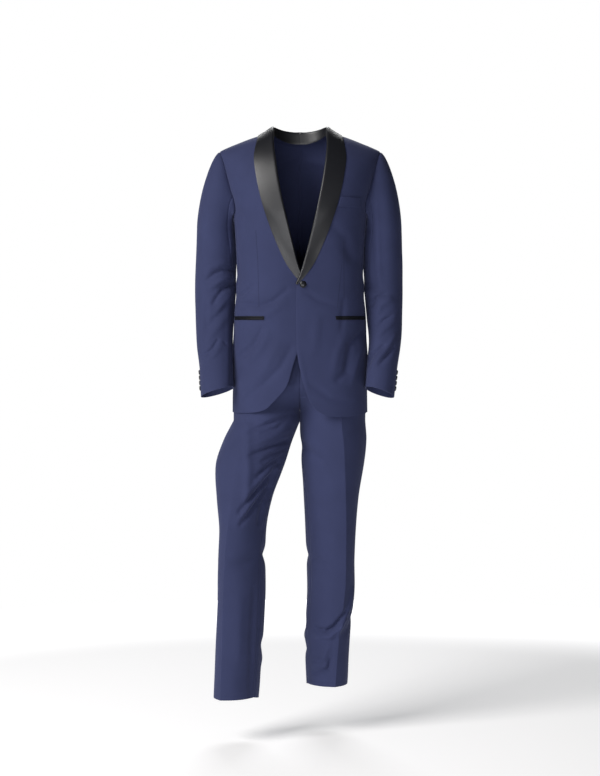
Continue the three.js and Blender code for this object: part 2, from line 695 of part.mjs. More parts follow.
function columnOf(across) {
  return across <= 1 ? across * LAPEL_COLUMNS : LAPEL_COLUMNS + (across - 1) * FRONT_COLUMNS;
}

function rowOf(z, grid, column) {
  let row = 0;
  while (onGrid(grid, row + 1, column).z < z) row += 1;
  const low = onGrid(grid, row, column).z;
  const high = onGrid(grid, row + 1, column).z;
  return row + (z - low) / (high - low);
}

// One half of the shawl collar, as middle points of the folded satin: facing, fold and outer face in each row.
function collarPanel({ points: front, normals: frontNormals }) {
  const lift = JACKET_CLOTH / 2 + LAPEL_GAP + SATIN / 2;
  const firstRow = HEM_ROWS.length + LEVELS.indexOf(BUTTON_HEIGHT);
  const ups = bodyRows(3);
  const rows = [];
  // How far a point of the turn goes from the neck edge: out of the surface, towards the opening and up the stand.
  const addRow = (edge, normal, opening, stand, facing, face) => {
    const clear = Math.min(1, stand / STAND_CLEARS);
    const turn = COLLAR_TURN.map(({ inside, rolled, open, up }) => {
      const out = inside ? -lift * inside : (lift + ROLL_LIFT) * rolled;
      const point = edge.clone().addScaledVector(normal, out);
      point.addScaledVector(opening, lift * (open || clear));
      point.z += stand * up;
      return point;
    });
    rows.push([facing, ...turn, ...face]);
  };
  for (let i = firstRow; i < front.length; i += 1) {
    const stand = SIDE_STAND * ease(ups[i], STAND_STARTS, 3);
    const standing = Math.min(1, stand / STAND_CLEARS);
    const edge = front[i][0];
    const normal = frontNormals[i][0];
    const opening = edge.clone().sub(front[i][1]).normalize();
    const back = FACING_COLUMN * (1 - standing);
    const facing = onGrid(front, i, back).addScaledVector(normal, -lift);
    facing.addScaledVector(opening, (lift + SEAM) * standing);
    facing.z -= SATIN * standing;
    const face = evenly(0, LAPEL_COLUMNS, LAPEL_COLUMNS).map((j) => {
      const rest = 1 - j / LAPEL_COLUMNS;
      const roll = ROLL_LIFT * rest * rest + (COLLAR_CLEAR * stand) / SIDE_STAND;
      const point = front[i][j].clone().addScaledVector(frontNormals[i][j], lift + roll);
      point.z += stand * rest ** FALL_BEND;
      return point;
    });
    addRow(edge, normal, opening, stand, facing, face);
  }
  for (const row of COLLAR_BACK) {
    const surface = (x, share) => {
      const rise = (Math.asin(Math.min(1, share ** (SHOULDER_ROUNDNESS / 2))) * 2) / Math.PI;
      return upperBack(x, x / BACK_SPREAD, rise);
    };
    const normalAt = (x, share) => {
      const across = surface(x + 1, share).sub(surface(x, share));
      return surface(x, share).sub(surface(x, share - 0.01)).cross(across).normalize();
    };
    const edge = surface(row.neck, 1);
    const opening = new THREE.Vector3(-row.neck, SHOULDER_SEAM_DEPTH - edge.y, 0).normalize();
    const facing = edge.clone().addScaledVector(opening, lift + SEAM).setZ(edge.z - SATIN);
    const face = evenly(0, 1, LAPEL_COLUMNS).map((share) => {
      const rest = 1 - share;
      const x = mix(row.neck, row.edge, share);
      const along = mix(1, row.share, share);
      const point = surface(x, along);
      point.addScaledVector(normalAt(x, along), lift + ROLL_LIFT * rest * rest + COLLAR_CLEAR);
      point.z += row.stand * rest ** FALL_BEND;
      return point;
    });
    addRow(edge, normalAt(row.neck, 1), opening, row.stand, facing, face);
  }
  const along = (i, j) => rows[i][Math.min(j + 1, rows[i].length - 1)].clone().sub(rows[i][Math.max(j - 1, 0)]);
  const normals = gridNormals(rows, along);
  for (const normal of normals.at(-1)) normal.setX(0).normalize();
  return { points: rows, normals };
}

function jacketFronts(group) {
  for (const { name: side, sign } of SIDES) {
    const front = frontPanel(side);
    const mirrored = sign < 0;
    group.add(wall("jacket_front_" + side, front, JACKET_CLOTH, BLUE_WOOL, mirrored));
    group.add(wall("shawl_collar_" + side, collarPanel(front), SATIN, BLACK_SATIN, mirrored));
    for (const [edge, drop] of [["upper", 0], ["lower", 1]]) {
      const columns = columnsBetween(columnOf(JET.from), columnOf(JET.to));
      const top = POCKET_HEIGHT + JET.height - drop * (JET.height + SEAM);
      const rows = [top - JET.height, top].map((z) => rowOf(z, front.points, columns[0]));
      const name = `pocket_jet_${edge}_${side}`;
      group.add(patch(name, front, rows, columns, layerOf(JET), BLACK_SATIN, mirrored));
    }
    if (side === "left") {
      const columns = columnsBetween(columnOf(WELT.from), columnOf(WELT.to));
      const heights = [0, 0.25, 0.5, 0.75, 1].map((share) => WELT.bottom + WELT.height * share);
      const rows = heights.map((z) => rowOf(z, front.points, columns[1]));
      group.add(patch("chest_welt", front, rows, columns, layerOf(WELT), BLUE_WOOL, mirrored));
      group.add(frontButton(front.points));
    }
  }
}

function jacketSidesAndBacks(group) {
  const neckColumns = [NECK_HALF, ...COLLAR_BACK.map((row) => row.neck)].map(backColumn);
  const backColumns = [...evenly(1, neckColumns[0], BACK_COLUMNS), ...neckColumns.slice(1, -1), 0];
  const sideSurface = (up, across) => sidePoint(across, up);
  const backSurface = (up, across) => backPoint(across, up);
  for (const { name: side, sign } of SIDES) {
    const mirrored = sign < 0;
    const panel = panelOf(bodyRows(2), evenly(0, 1, 4), sideSurface, ["first column", "last column"]);
    group.add(wall("jacket_side_" + side, panel, JACKET_CLOTH, BLUE_WOOL, mirrored));
    const back = shoulderPanel(backColumns, backSurface, ["first column", "last column", "last row"]);
    group.add(wall("jacket_back_" + side, back, JACKET_CLOTH, BLUE_WOOL, mirrored));
  }
}

// A round button whose back lies at its origin and whose front faces +Y of the lathe.
function buttonGeometry(radius, thick, rim) {
  const profile = [
    [0, 0],
    [radius * 0.9, 0],
    [radius, thick * 0.4],
    [radius * 0.93, thick * 0.8],
    [radius * 0.75, thick],
    [0, thick - rim],
  ];
  return new THREE.LatheGeometry(profile.map(([x, y]) => new THREE.Vector2(x, y)), 16);
}

function frontButton(front) {
  const { x, radius, thick, crown } = FRONT_BUTTON;
  const button = named("front_button", buttonGeometry(radius, thick, -crown), BLACK_SATIN);
  const row = rowOf(BUTTON_HEIGHT, front, 0);
  const under = front[row].filter((point) => Math.abs(point.x - x) < 2 * radius);
  const surface = Math.min(...under.map((point) => point.y));
  button.rotation.x = Math.PI;
  button.position.set(x, surface - JACKET_CLOTH / 2 - BUTTON_GAP, BUTTON_HEIGHT);
  return button;
}

// A row of the sleeve is a share of the cap, or below it a height. share goes from one seam to the other, backwards
// round the sleeve.
function sleevePoint(side, part, row, share) {
  const height = row <= 1 ? mix(SLEEVE_SEAMS.at(-1).z, SLEEVE_ROWS[0], row) : row;
  const front = read(SLEEVE_SEAMS, "z", height, "front");
  const back = read(SLEEVE_SEAMS, "z", height, "back");
  const degrees = part === "top" ? mix(front, back - 360, share) : mix(back, front, share);
  if (row <= 1) return capPoint(side, (degrees * RING_STEPS) / 360, row);
  return sleeveSection(side, ((degrees % 360) + 360) % 360, row);
}

function sleeves(group) {
  for (const { name: side, sign } of SIDES) {
    const rows = [...SLEEVE_ROWS.slice(1).reverse(), ...CAP_ROWS.slice().reverse()];
    for (const [part, steps] of [["top", TOP_SLEEVE_STEPS], ["under", RING_STEPS - TOP_SLEEVE_STEPS]]) {
      const surface = (row, share) => sleevePoint(side, part, row, share);
      const panel = panelOf(rows, evenly(0, 1, steps), surface, ["first column", "last column"]);
      group.add(wall(`sleeve_${part}_${side}`, panel, JACKET_CLOTH, BLUE_WOOL, sign < 0));
    }
    const seam = read(SLEEVE_SEAMS, "z", SLEEVE_ROWS.at(-1), "back");
    for (let i = 0; i < CUFF_BUTTON.count; i += 1) {
      const z = SLEEVE_ROWS.at(-1) + CUFF_BUTTON.lowest + CUFF_BUTTON.pitch * i;
      const degrees = seam + CUFF_BUTTON.ahead;
      const place = sleeveSection(side, degrees, z);
      const around = sleeveSection(side, degrees + 2, z).sub(place);
      const upwards = sleeveSection(side, degrees, z + 5).sub(place);
      const outwards = upwards.cross(around).normalize();
      place.addScaledVector(outwards, JACKET_CLOTH / 2 + BUTTON_GAP);
      place.x *= sign;
      outwards.x *= sign;
      const button = named(
        `cuff_button_${side}_${i + 1}`,
        buttonGeometry(CUFF_BUTTON.radius, CUFF_BUTTON.thick, CUFF_BUTTON.dish),
        BLACK_HORN,
      );
      button.quaternion.setFromUnitVectors(new THREE.Vector3(0, 1, 0), outwards);
      button.position.copy(place);
      group.add(button);
    }
  }
}

function trousers(group) {
  for (const { name: side, sign } of SIDES) {
    const rows = [LEG[side][0].z, ...LEG_ROWS, ...RISE_ROWS];
    for (const [part, from] of [["front", 0], ["back", 180]]) {
      const columns = evenly(from, from + 180, LEG_COLUMNS);
      const surface = (z, degrees) => legPoint(side, degrees, z);
      const panel = panelOf(rows, columns, surface, ["first column", "last column", "last row"]);
      group.add(wall(`trouser_${part}_${side}`, panel, TROUSER_CLOTH, BLUE_WOOL, sign < 0));
      if (part === "front" && side === "left") group.add(flyFacing(panel));
    }
  }
}

// The fly's facing, inside the left front along its edge.
function flyFacing(panel) {
  const last = panel.points.length - 1;
  const rows = evenly(last - FLY.rows, last, FLY.rows);
  const near = -TROUSER_CLOTH / 2 - FLY.lift;
  return patch("trouser_fly", panel, rows, [0, 1], [near - TROUSER_CLOTH, near], BLUE_WOOL, false);
}

// The waistband runs once round from the centre front.
function waistband(group) {
  const opening = radians(0.12);
  const columns = evenly(opening, 2 * Math.PI - opening, WAISTBAND_STEPS);
  const rows = [WAIST_SEAM + SEAM / 2, (WAIST_SEAM + WAISTBAND_TOP) / 2, WAISTBAND_TOP];
  const surface = (z, angle) => seatSection((angle * 360) / Math.PI, z);
  group.add(wall("trouser_waistband", panelOf(rows, columns, surface, []), 2 * TROUSER_CLOTH, BLUE_WOOL, false));
}

const suit = new THREE.Group();
jacketFronts(suit);
jacketSidesAndBacks(suit);
sleeves(suit);
trousers(suit);
waistband(suit);

// The origin is at the nape, in the middle between the shoulder seams.
suit.position.set(0, -SHOULDER_SEAM_DEPTH, -NAPE_HEIGHT);
const part = new THREE.Group();
part.add(suit);

export default part;
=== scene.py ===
# %% [markdown]
# # A dinner jacket with its trousers
# The suit is a set of flat cloth panels that only look round because they are cut and sewn that way. Each
# panel is made here as a grid of points, laid on the round form by a function, and then given the thickness
# of its cloth.

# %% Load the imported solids
from math import asin, atan2, cos, exp, hypot, pi, radians, sin, sqrt

import bmesh
import bpy
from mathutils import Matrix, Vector, noise


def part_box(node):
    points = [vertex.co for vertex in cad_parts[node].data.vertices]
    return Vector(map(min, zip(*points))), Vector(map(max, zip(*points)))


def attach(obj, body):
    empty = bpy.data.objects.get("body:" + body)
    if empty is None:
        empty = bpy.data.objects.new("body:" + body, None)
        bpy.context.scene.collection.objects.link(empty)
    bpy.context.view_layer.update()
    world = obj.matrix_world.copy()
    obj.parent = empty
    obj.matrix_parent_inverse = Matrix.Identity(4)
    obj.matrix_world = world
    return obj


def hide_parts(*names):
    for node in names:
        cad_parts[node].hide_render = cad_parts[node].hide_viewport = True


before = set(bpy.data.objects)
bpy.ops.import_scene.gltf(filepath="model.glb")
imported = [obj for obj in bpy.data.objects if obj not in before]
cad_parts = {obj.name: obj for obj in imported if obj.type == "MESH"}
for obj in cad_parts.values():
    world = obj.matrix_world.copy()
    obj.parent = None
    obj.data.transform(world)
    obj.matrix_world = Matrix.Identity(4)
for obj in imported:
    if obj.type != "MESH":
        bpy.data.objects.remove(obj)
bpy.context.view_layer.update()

scene = bpy.context.scene
scene.view_settings.view_transform = "Standard"
print("solids to dress:", len(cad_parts))

# %% [markdown]
# ## Camera
# It stands five metres in front, a little below the chest, and looks very slightly down. A long lens keeps
# the suit's proportions true.

# %% Camera
SENSOR_HEIGHT = 36
PICTURE_ROWS = 776
FOCAL_ROWS = 1950
camera_data = bpy.data.cameras.new("camera")
camera_data.sensor_fit = "VERTICAL"
camera_data.sensor_height = SENSOR_HEIGHT
camera_data.lens = SENSOR_HEIGHT * FOCAL_ROWS / PICTURE_ROWS
camera = bpy.data.objects.new("camera", camera_data)
camera.location = (0, -5.008, -0.472)
camera.rotation_euler = (radians(88.2), 0, 0)
scene.collection.objects.link(camera)
scene.camera = camera
print("lens in millimetres:", round(camera_data.lens, 1))

# %% [markdown]
# ## Measurements
# A tailor writes a figure's measurements level by level. The tables below do the same in millimetres, with
# heights above the floor, and a smooth curve is read through each column. They are the sizes of the solids,
# within 3 mm.

# %% Tables that are read as smooth curves
def mix(start, end, share):
    return start + (end - start) * share


def ease(value, low, high):
    share = min(1, max(0, (value - low) / (high - low)))
    return share * share * (3 - 2 * share)


class Table:
    def __init__(self, names, *rows):
        self.places = [row[0] for row in rows]
        self.columns = {name: [row[i] for row in rows] for i, name in enumerate(names.split())}

    def at(self, place, name):
        places = self.places
        values = self.columns[name]
        last = len(places) - 1
        if place <= places[0]:
            return values[0]
        if place >= places[last]:
            return values[last]
        i = 0
        while places[i + 1] < place:
            i += 1

        def slope(k):
            before = max(k - 1, 0)
            after = min(k + 1, last)
            return (values[after] - values[before]) / (places[after] - places[before])

        step = places[i + 1] - places[i]
        t = (place - places[i]) / step
        bend = t * (1 - t) * step * ((1 - t) * slope(i) - t * slope(i + 1))
        return mix(values[i], values[i + 1], t * t * (3 - 2 * t)) + bend


# %% Cloth and levels
JACKET_CLOTH = 1.8
TROUSER_CLOTH = 1.4
SATIN = 1.2
SEAM = 0.3
POCKET_HEIGHT = 1062
BUTTON_HEIGHT = 1146
ARMHOLE_HEIGHT = 1330
NAPE_HEIGHT = 1512
NECK_SIDE_HEIGHT = 1531
BACK_HEM = 822
ARMHOLE_DIP = 12
FLOOR_HEIGHT = -NAPE_HEIGHT / 1000

# %% The jacket's body
BODY_ROUNDNESS = 2.4
BODY = Table(
    "z half front back",
    (810, 172, 119, 120),
    (930, 170.4, 119, 122),
    (POCKET_HEIGHT, 168, 115, 112),
    (1150, 161.5, 112, 101),
    (1240, 163, 121, 108),
    (ARMHOLE_HEIGHT, 171, 130, 118),
)
SIDE_SEAMS = Table(
    "z front back", (810, 78, 107), (POCKET_HEIGHT, 78.5, 108), (1200, 76, 109), (ARMHOLE_HEIGHT, 73.4, 106.6)
)
SHOULDER_ROUNDNESS = 2.2
SHOULDER_SEAM_DEPTH = 8
NECK_HALF = 69
SHOULDER_TOP = 1537
NAPE_DEPTH = 58
COLLAR_EDGE_HALF = 105
SHOULDER_LINE = Table(
    "x z", (0, SHOULDER_TOP), (NECK_HALF, NECK_SIDE_HEIGHT), (COLLAR_EDGE_HALF, 1526), (165, 1504),
    (190, 1494), (205, 1487),
)
ARMHOLE = Table(
    "share front back",
    (0, 165, 165),
    (0.17, 167, 171),
    (0.28, 173, 177),
    (0.45, 181, 185),
    (0.64, 188.5, 192),
    (0.8, 195, 197),
    (1, 205, 205),
)
BACK_SPREAD = 205 / 165

# %% Front edges, hems and lapel
FRONT_EDGE = {
    "left": Table(
        "z x", (852, 25), (863, 20), (892, 10), (928, 1), (964, -6), (990, -9), (BUTTON_HEIGHT, -9),
        (1158, -4), (1172, 2), (1204, 12), (1274, 30), (1340, 45), (1400, 57), (1460, 66), (1503, 70),
        (NECK_SIDE_HEIGHT, 69),
    ),
    "right": Table(
        "z x", (858, 60), (867, 52), (885, 37), (905, 28), (927, 22), (957, 13), (980, 5), (1010, -5),
        (POCKET_HEIGHT, -11), (BUTTON_HEIGHT, -13), (1158, -8), (1172, -2), (1204, 9), (1274, 26), (1340, 42),
        (1400, 54), (1460, 63), (1503, 69), (NECK_SIDE_HEIGHT, 69),
    ),
}
FRONT_HEM = {
    "left": Table("x z", (25, 852), (40, 831), (72, 816), (107, 813), (144, 816), (172, 821)),
    "right": Table("x z", (60, 858), (82, 835), (109, 825), (147, 822), (172, 822)),
}
HEM_CORNER = {"left": (852, 25), "right": (858, 60)}
LEAST_LAPEL = 3
LAPEL_EDGE = Table(
    "z x", (850, 74), (POCKET_HEIGHT, 42), (1105, 20), (BUTTON_HEIGHT, -5), (1158, 5), (1172, 17), (1204, 38),
    (1280, 71), (1368, 99), (1434, 112), (1474, 115), (1526, 105),
)
LAP_LIFT = 2.2
LAP_REACH = 60
LAP_FADES = 100
LAPEL_LAP_LIFT = 3
LAPEL_LAP_RISE = 25
LAPEL_LAP_REACH = (20, 75)

# %% Sleeves
SLEEVE_ROUNDNESS = 2.15
SLEEVE = {
    "right": Table(
        "z x y half depth out back",
        (874, 210, -50, 41, 45, 12, 8),
        (940, 213.4, -32, 41.6, 46, 9, 7),
        (1000, 217.8, -13, 45.2, 48, 5, 5),
        (1060, 218.2, 3, 48.3, 51, 2, 2),
        (1140, 216.8, 13, 51.7, 55, 0, 0),
        (1210, 215.9, 10, 50.1, 58, 0, 0),
        (1285, 216, 8, 47, 62, 0, 0),
    ),
    "left": Table(
        "z x y half depth out back",
        (874, 202, -60, 36, 45, 12, 9),
        (940, 208.6, -40, 37.4, 46, 9, 7),
        (1000, 216.5, -18, 40, 48, 5, 5),
        (1060, 216.4, 1, 44.6, 51, 2, 2),
        (1140, 214.2, 13, 48.3, 55, 0, 0),
        (1210, 213.5, 10, 48.5, 58, 0, 0),
        (1285, 214, 8, 45.5, 62, 0, 0),
    ),
}
CUFF_HEIGHT = 874
SLEEVE_TOP = 1285
CAP_SEAM_TOP = 1340
SLEEVE_SEAMS = Table(
    "z front back", (CUFF_HEIGHT, 168, 334), (1000, 158, 318), (1140, 146, 286), (SLEEVE_TOP, 130, 246),
    (CAP_SEAM_TOP, 126, 234),
)
CAP_REACH = {"top": 15, "front": 13, "bottom": 5}
CAP_RISE = 6
CAP_FULL = 15
CAP_GAP = -1.5
CAP_UNDER = 1.6
CAP_DROP = {"outside": 95, "inside": 18}

# %% Trousers
CROTCH_HEIGHT = 800
RISE_BLEND = 95
WAIST_SEAM = 990
WAISTBAND_TOP = 1028
LEG = {
    "right": Table(
        "z x y length across turn",
        (112, 160.5, -118, 72, 51.5, 29),
        (250, 152.5, -112, 75, 53, 31),
        (360, 147, -105, 77, 52.5, 33),
        (450, 146.5, -98, 78, 53, 30),
        (530, 144, -88, 80, 54, 26),
        (610, 139, -68, 87, 68, 20),
        (690, 125.5, -40, 96, 86, 19),
        (750, 107, -16, 99, 87, 12),
        (CROTCH_HEIGHT, 84.7, 0, 98, 84.8, 3),
    ),
    "left": Table(
        "z x y length across turn",
        (122, 69.5, 12, 69, 51.5, 16),
        (250, 71, 8, 72, 56.5, 22),
        (360, 79, 4, 75, 58, 26),
        (450, 78, 0, 78, 58, 28),
        (530, 78.5, -2, 81, 62, 27),
        (610, 80, 0, 87, 68.5, 23),
        (690, 84.5, 3, 93, 79.5, 17),
        (750, 86, 4, 97, 84, 13.5),
        (CROTCH_HEIGHT, 82.8, 3, 97, 84.4, 12),
    ),
}
LEG_HEM = {"right": 112, "left": 122}
LEG_ROUNDNESS = 1.85
THIGH_ROUNDNESS = 2.1
SOFT_THIGH = (520, 640)
CREASE_HEIGHT = 4
CREASE_REACH = 26
SOFT_CREASE = 0.8
HEM_DROP = 13
HEM_DROP_REACH = 140
SEAT_ROUNDNESS = 2.3
SEAT = Table(
    "z half front back",
    (CROTCH_HEIGHT, 169.7, 101, 112),
    (860, 166.4, 101, 112),
    (920, 159, 98, 106),
    (WAIST_SEAM, 147, 93, 92),
    (WAISTBAND_TOP, 146, 92, 88),
)
INSEAM_CLEAR = 0.3
INSEAM_CLOSES = 12
FORK_CLOSES = 1.4
FORK_RISE = 10
FORK_REACH = 14
print("levels from", LEG_HEM["right"], "to", SHOULDER_TOP, "millimetres above the floor")

# %% [markdown]
# ## Folds
# Wool bends into soft troughs and ridges where it is pulled: from the fastened button, at the elbows, from
# the fork down the thigh and where a trouser leg breaks. Each is a line of points on the cloth with a width
# and a depth, under 0 for a trough. They are placed unevenly, because regular folds look like corrugated
# card.

# %% How a fold is written
def read_folds(text):
    """One fold a line: its width, its depth, then its points as x,height."""
    folds = []
    for line in text.strip().splitlines():
        wide, deep, *points = line.split()
        folds.append((float(wide), float(deep), *[tuple(map(float, point.split(","))) for point in points]))
    return folds


# %% Folds on the fronts
FRONT_FOLDS = {
    "right": read_folds("""
    7 -3 33,1132 70,1102 100,1093 150,1097
    10 2 38,1102 80,1072 125,1067
    5 -2 118,1144 138,1129 153,1117
    5 1.2 95,1117 143,1109
    7 -2.8 95,1034 120,992 153,964
    9 2 80,1019 105,977 140,942
    9 -2.6 23,987 48,939 93,894 135,859
    10 1.6 55,994 85,937 125,897
    8 -1.5 168,1344 150,1319 143,1277
    8 -1 95,876 120,836
    16 -1.6 128,1250 150,1180
    18 -1.4 100,1330 140,1290
    """),
    "left": read_folds("""
    9 -4 157,1027 128,994 115,927 95,909
    8 2.5 160,994 145,952 130,899
    11 1.6 113,1019 95,977 83,927
    7 -1.2 110,1107 103,1032
    8 -1.6 15,1127 45,1107 88,1094
    4 1 -3,977 8,919 20,864
    12 -1.5 75,1294 115,1262 130,1202
    9 -1.4 30,894 75,861 125,851
    12 1.4 45,1057 35,982
    15 -1.8 110,1240 150,1200
    """),
}

# %% Folds on the side panels and the backs
SIDE_FOLDS = read_folds("""
    14 -0.7 60,1180 95,1168 130,1150
    15 -0.6 60,1130 95,1106 130,1095
    16 1.4 70,1000 88,960 110,900
    11 1 62,1158 125,1126
""")
BACK_FOLDS = {
    "left": read_folds("""
    13 -3.6 16,1148 60,1142 124,1118
    14 -3.2 40,1186 96,1204 146,1238
    11 2.4 20,1168 110,1160 150,1180
    20 3 60,1000 72,930 95,850
    16 -3.2 110,1010 118,940 130,860
    15 -3.4 112,1440 140,1400 165,1345
    12 2.2 96,1430 124,1380 146,1330
    13 -2.4 15,1472 50,1466 92,1452
    9 -1.8 24,1098 70,1088 112,1096
    """),
    "right": read_folds("""
    15 -3.4 15,1140 60,1142 112,1126
    14 -3.4 30,1174 90,1182 152,1207
    10 2 24,1158 90,1160 140,1168
    22 2.8 50,1010 60,930 80,850
    15 -3.2 105,985 122,910 135,850
    14 -3.4 118,1418 142,1380 162,1338
    12 -2.2 20,1478 48,1468 82,1452
    10 -1.8 30,1104 80,1102 126,1088
    """),
}

# %% Folds on the sleeves' fronts, as seen from in front
SLEEVE_VIEW = {
    "right": read_folds("""
    4 1.2 179,1331 178,1260 178,1199
    5 -2.5 168,1336 167,1260 168,1194
    5.5 -3.4 163,1185 198,1184 219,1174 234,1161
    7 2.2 168,1166 198,1159 224,1141
    6 1 183,1204 219,1194 239,1179
    5.5 -3 165,1151 196,1133 211,1115 221,1098
    7 1.6 173,1123 193,1103 214,1072
    5 -2.2 168,1133 170,1057 172,981 173,894
    6 0.8 183,1108 183,1006 183,905
    4.5 -2.6 208,1006 220,986 234,974 247,969
    6 1.4 203,988 219,966 239,953
    8 -1.6 188,1093 216,1062 242,1029
    8 1.4 186,1067 214,1032 239,1004
    4 -1.2 193,1001 183,991
    6 -1 236,1108 242,981
    """),
    "left": read_folds("""
    4.5 -3 215,1122 196,1117 187,1105 183,1093
    7 2 229,1108 206,1095 193,1070
    6 1.2 193,1349 198,1260 203,1159
    6 -1.4 181,1285 186,1204 191,1146
    5 -2.4 231,1067 214,1057 198,1044
    7 2 236,1052 211,1032 191,1011
    5 -3.2 211,991 193,978 181,966 173,940
    6 2.2 239,1016 219,986 198,961 183,940
    5.5 -2.6 239,988 221,966 201,945
    4 -1.5 173,1032 170,994 168,976
    5 -1.6 173,1349 183,1331 186,1290
    """),
}

# %% Folds on the legs' fronts, as seen from in front
LEG_VIEW = {
    "right": read_folds("""
    6 -3 17,819 74,797 126,777
    5 -1.8 27,809 59,785 94,775
    6 -3.4 32,752 74,737 124,718
    5 -2 40,730 69,718 94,703
    5 -2.6 47,713 84,688 106,666
    6 -3.6 52,698 89,648 119,618 151,579
    6 -3.6 62,673 79,638 114,594 148,549
    5 -2.4 74,633 94,594 104,549
    7 1.8 30,780 79,760 124,745
    6 1.6 54,685 94,666 133,621
    5 1.8 79,651 114,606 143,571
    10 2 133,809 129,685 133,598 148,556
    6 -1.5 94,531 84,521
    7 -1.4 114,387 121,262 124,118
    12 1 148,362 153,213
    """),
    "left": read_folds("""
    5 -4 116,315 101,294 86,277 66,266 43,271
    5.5 2.6 114,292 96,271 76,251 45,251
    4.5 2.6 136,373 124,322 106,287 96,256
    5 -3 78,193 71,167 38,157
    6 1.8 73,226 61,195 35,175
    8 -1 30,450 76,434
    """),
}

# %% Folds on the hidden sides of sleeves and legs, with degrees round the tube in place of x
SLEEVE_FOLDS = {
    "right": read_folds("""
    13 -2.6 96,1128 130,1142 158,1150
    12 1.8 60,1100 110,1122 170,1136
    14 -4 235,1205 275,1186 320,1180
    12 -3.6 240,1120 280,1100 330,1090
    10 2.4 236,1160 320,1130
    14 -3 225,1040 270,1024 320,1020
    13 -3 270,1260 300,1200 300,1130
    30 3 150,1275 180,1240 205,1210
    """),
    "left": read_folds("""
    13 -2.6 96,1128 130,1142 158,1150
    12 1.8 60,1100 110,1122 170,1136
    14 -4.2 235,1208 280,1196 320,1176
    12 -3.6 240,1130 280,1112 320,1104
    10 2.2 230,1170 320,1146
    14 -3 230,1046 280,1036 330,1016
    13 -2.6 262,1250 290,1200 300,1140
    30 3 150,1275 180,1240 205,1210
    """),
}
LEG_FOLDS = {
    "right": read_folds("""
    14 -4 266,724 294,700 322,690
    15 -3.6 256,662 286,648 316,620
    13 2.4 268,694 316,656
    16 -5 275,450 310,458 350,480
    15 -3.4 190,470 225,462 262,440
    15 -3 255,250 290,236 335,240
    12 2.2 262,215 320,202
    14 -3 10,470 40,452 70,450
    18 2.4 200,900 230,850 262,800
    """),
    "left": read_folds("""
    16 -5 250,300 290,292 330,275
    16 -4 262,690 300,708 345,735
    14 -3.8 275,230 310,226 345,210
    12 2.4 256,266 330,244
    13 -3 110,262 140,284 170,318
    12 -2.8 6,740 28,720 50,706
    16 -3.6 280,470 310,462 350,440
    16 -2.4 190,520 230,500 262,508
    18 2.4 200,900 230,850 262,800
    """),
}

# %% A fold as a soft line
FOLD_TAPER = 0.6
FOLD_ENDS = (0.1, 0.9)
FOLD_REACH = 2.6
FOLD_STRENGTH = 1.7


def fold_lines(folds, strength=FOLD_STRENGTH):
    """Each fold with its box, so that far points are passed over quickly."""
    lines = []
    for wide, deep, *points in folds:
        reach = wide * FOLD_REACH
        xs = [x for x, _ in points]
        zs = [z for _, z in points]
        box = (min(xs) - reach, max(xs) + reach, min(zs) - reach, max(zs) + reach)
        lines.append((box, wide, deep * strength, points))
    return lines


def relief_at(lines, x, z):
    """How far all the folds together move a point of the cloth."""
    total = 0
    for (low_x, high_x, low_z, high_z), wide, deep, points in lines:
        if not (low_x < x < high_x and low_z < z < high_z):
            continue
        nearest = FOLD_REACH
        place = 0
        for n, ((x1, z1), (x2, z2)) in enumerate(zip(points, points[1:])):
            run = (x2 - x1) ** 2 + (z2 - z1) ** 2
            along = min(1, max(0, ((x - x1) * (x2 - x1) + (z - z1) * (z2 - z1)) / run))
            away = hypot(x - mix(x1, x2, along), z - mix(z1, z2, along)) / wide
            if away < nearest:
                nearest = away
                place = (n + along) / (len(points) - 1)
        total += deep * sin(pi * mix(*FOLD_ENDS, place)) ** FOLD_TAPER * exp(-nearest * nearest)
    return total


# %% Folds round a tube and on a panel
def round_lines(folds, radius):
    """Folds given in degrees, as lines in millimetres round a tube."""
    arc = radians(1) * radius
    rows = [(wide, deep, *((turn * arc, z) for turn, z in points)) for wide, deep, *points in folds]
    return fold_lines(rows)


VIEW_STRENGTH = {"sleeve": 1.9, "leg": 2.7}
TUBE_RADIUS = {"sleeve": 48, "leg": 76}
TURNS_AWAY = (0.12, 0.55)
ROUND_LINES = {}
VIEW_LINES = {}
for tube, hidden, seen in (("sleeve", SLEEVE_FOLDS, SLEEVE_VIEW), ("leg", LEG_FOLDS, LEG_VIEW)):
    for side in ("left", "right"):
        ROUND_LINES[tube, side] = round_lines(hidden[side], TUBE_RADIUS[tube])
        VIEW_LINES[tube, side] = fold_lines(seen[side], VIEW_STRENGTH[tube])


def tube_relief(tube, side, turn, point, facing):
    """Folds round a tube, and those seen from in front, which fade where the cloth turns away."""
    round_place = turn % 360 * radians(1) * TUBE_RADIUS[tube]
    in_front = ease(facing, *TURNS_AWAY)
    seen = relief_at(VIEW_LINES[tube, side], point.x, point.z) * in_front if in_front else 0
    return relief_at(ROUND_LINES[tube, side], round_place, point.z) + seen


def fold_relief(folds):
    """Folds of a flat panel, as a function of the point on it."""
    lines = fold_lines(folds)
    return lambda point: relief_at(lines, point.x, point.z)


print("folds placed:", sum(len(lines) for lines in [*ROUND_LINES.values(), *VIEW_LINES.values()]))

# %% [markdown]
# ## The form under each panel
# Cross-sections of the body, the arms and the legs are rounded squares, fuller than an ellipse, as padded
# cloth is. Above the armholes the fronts and backs rise and close in to the shoulder seam.

# %% Body sections
def rounded(angle, roundness):
    c = cos(angle)
    s = sin(angle)
    power = 2 / roundness
    return (abs(c) ** power * (1 if c > 0 else -1), abs(s) ** power * (1 if s > 0 else -1))


def body_point(z, angle):
    to_front, to_side = rounded(angle, BODY_ROUNDNESS)
    deep = BODY.at(z, "front" if to_front > 0 else "back")
    return Vector((BODY.at(z, "half") * to_side, -deep * to_front, z))


def body_angle(z, x):
    share = min(1, (abs(x) / BODY.at(z, "half")) ** (BODY_ROUNDNESS / 2))
    return asin(share) * (1 if x >= 0 else -1)


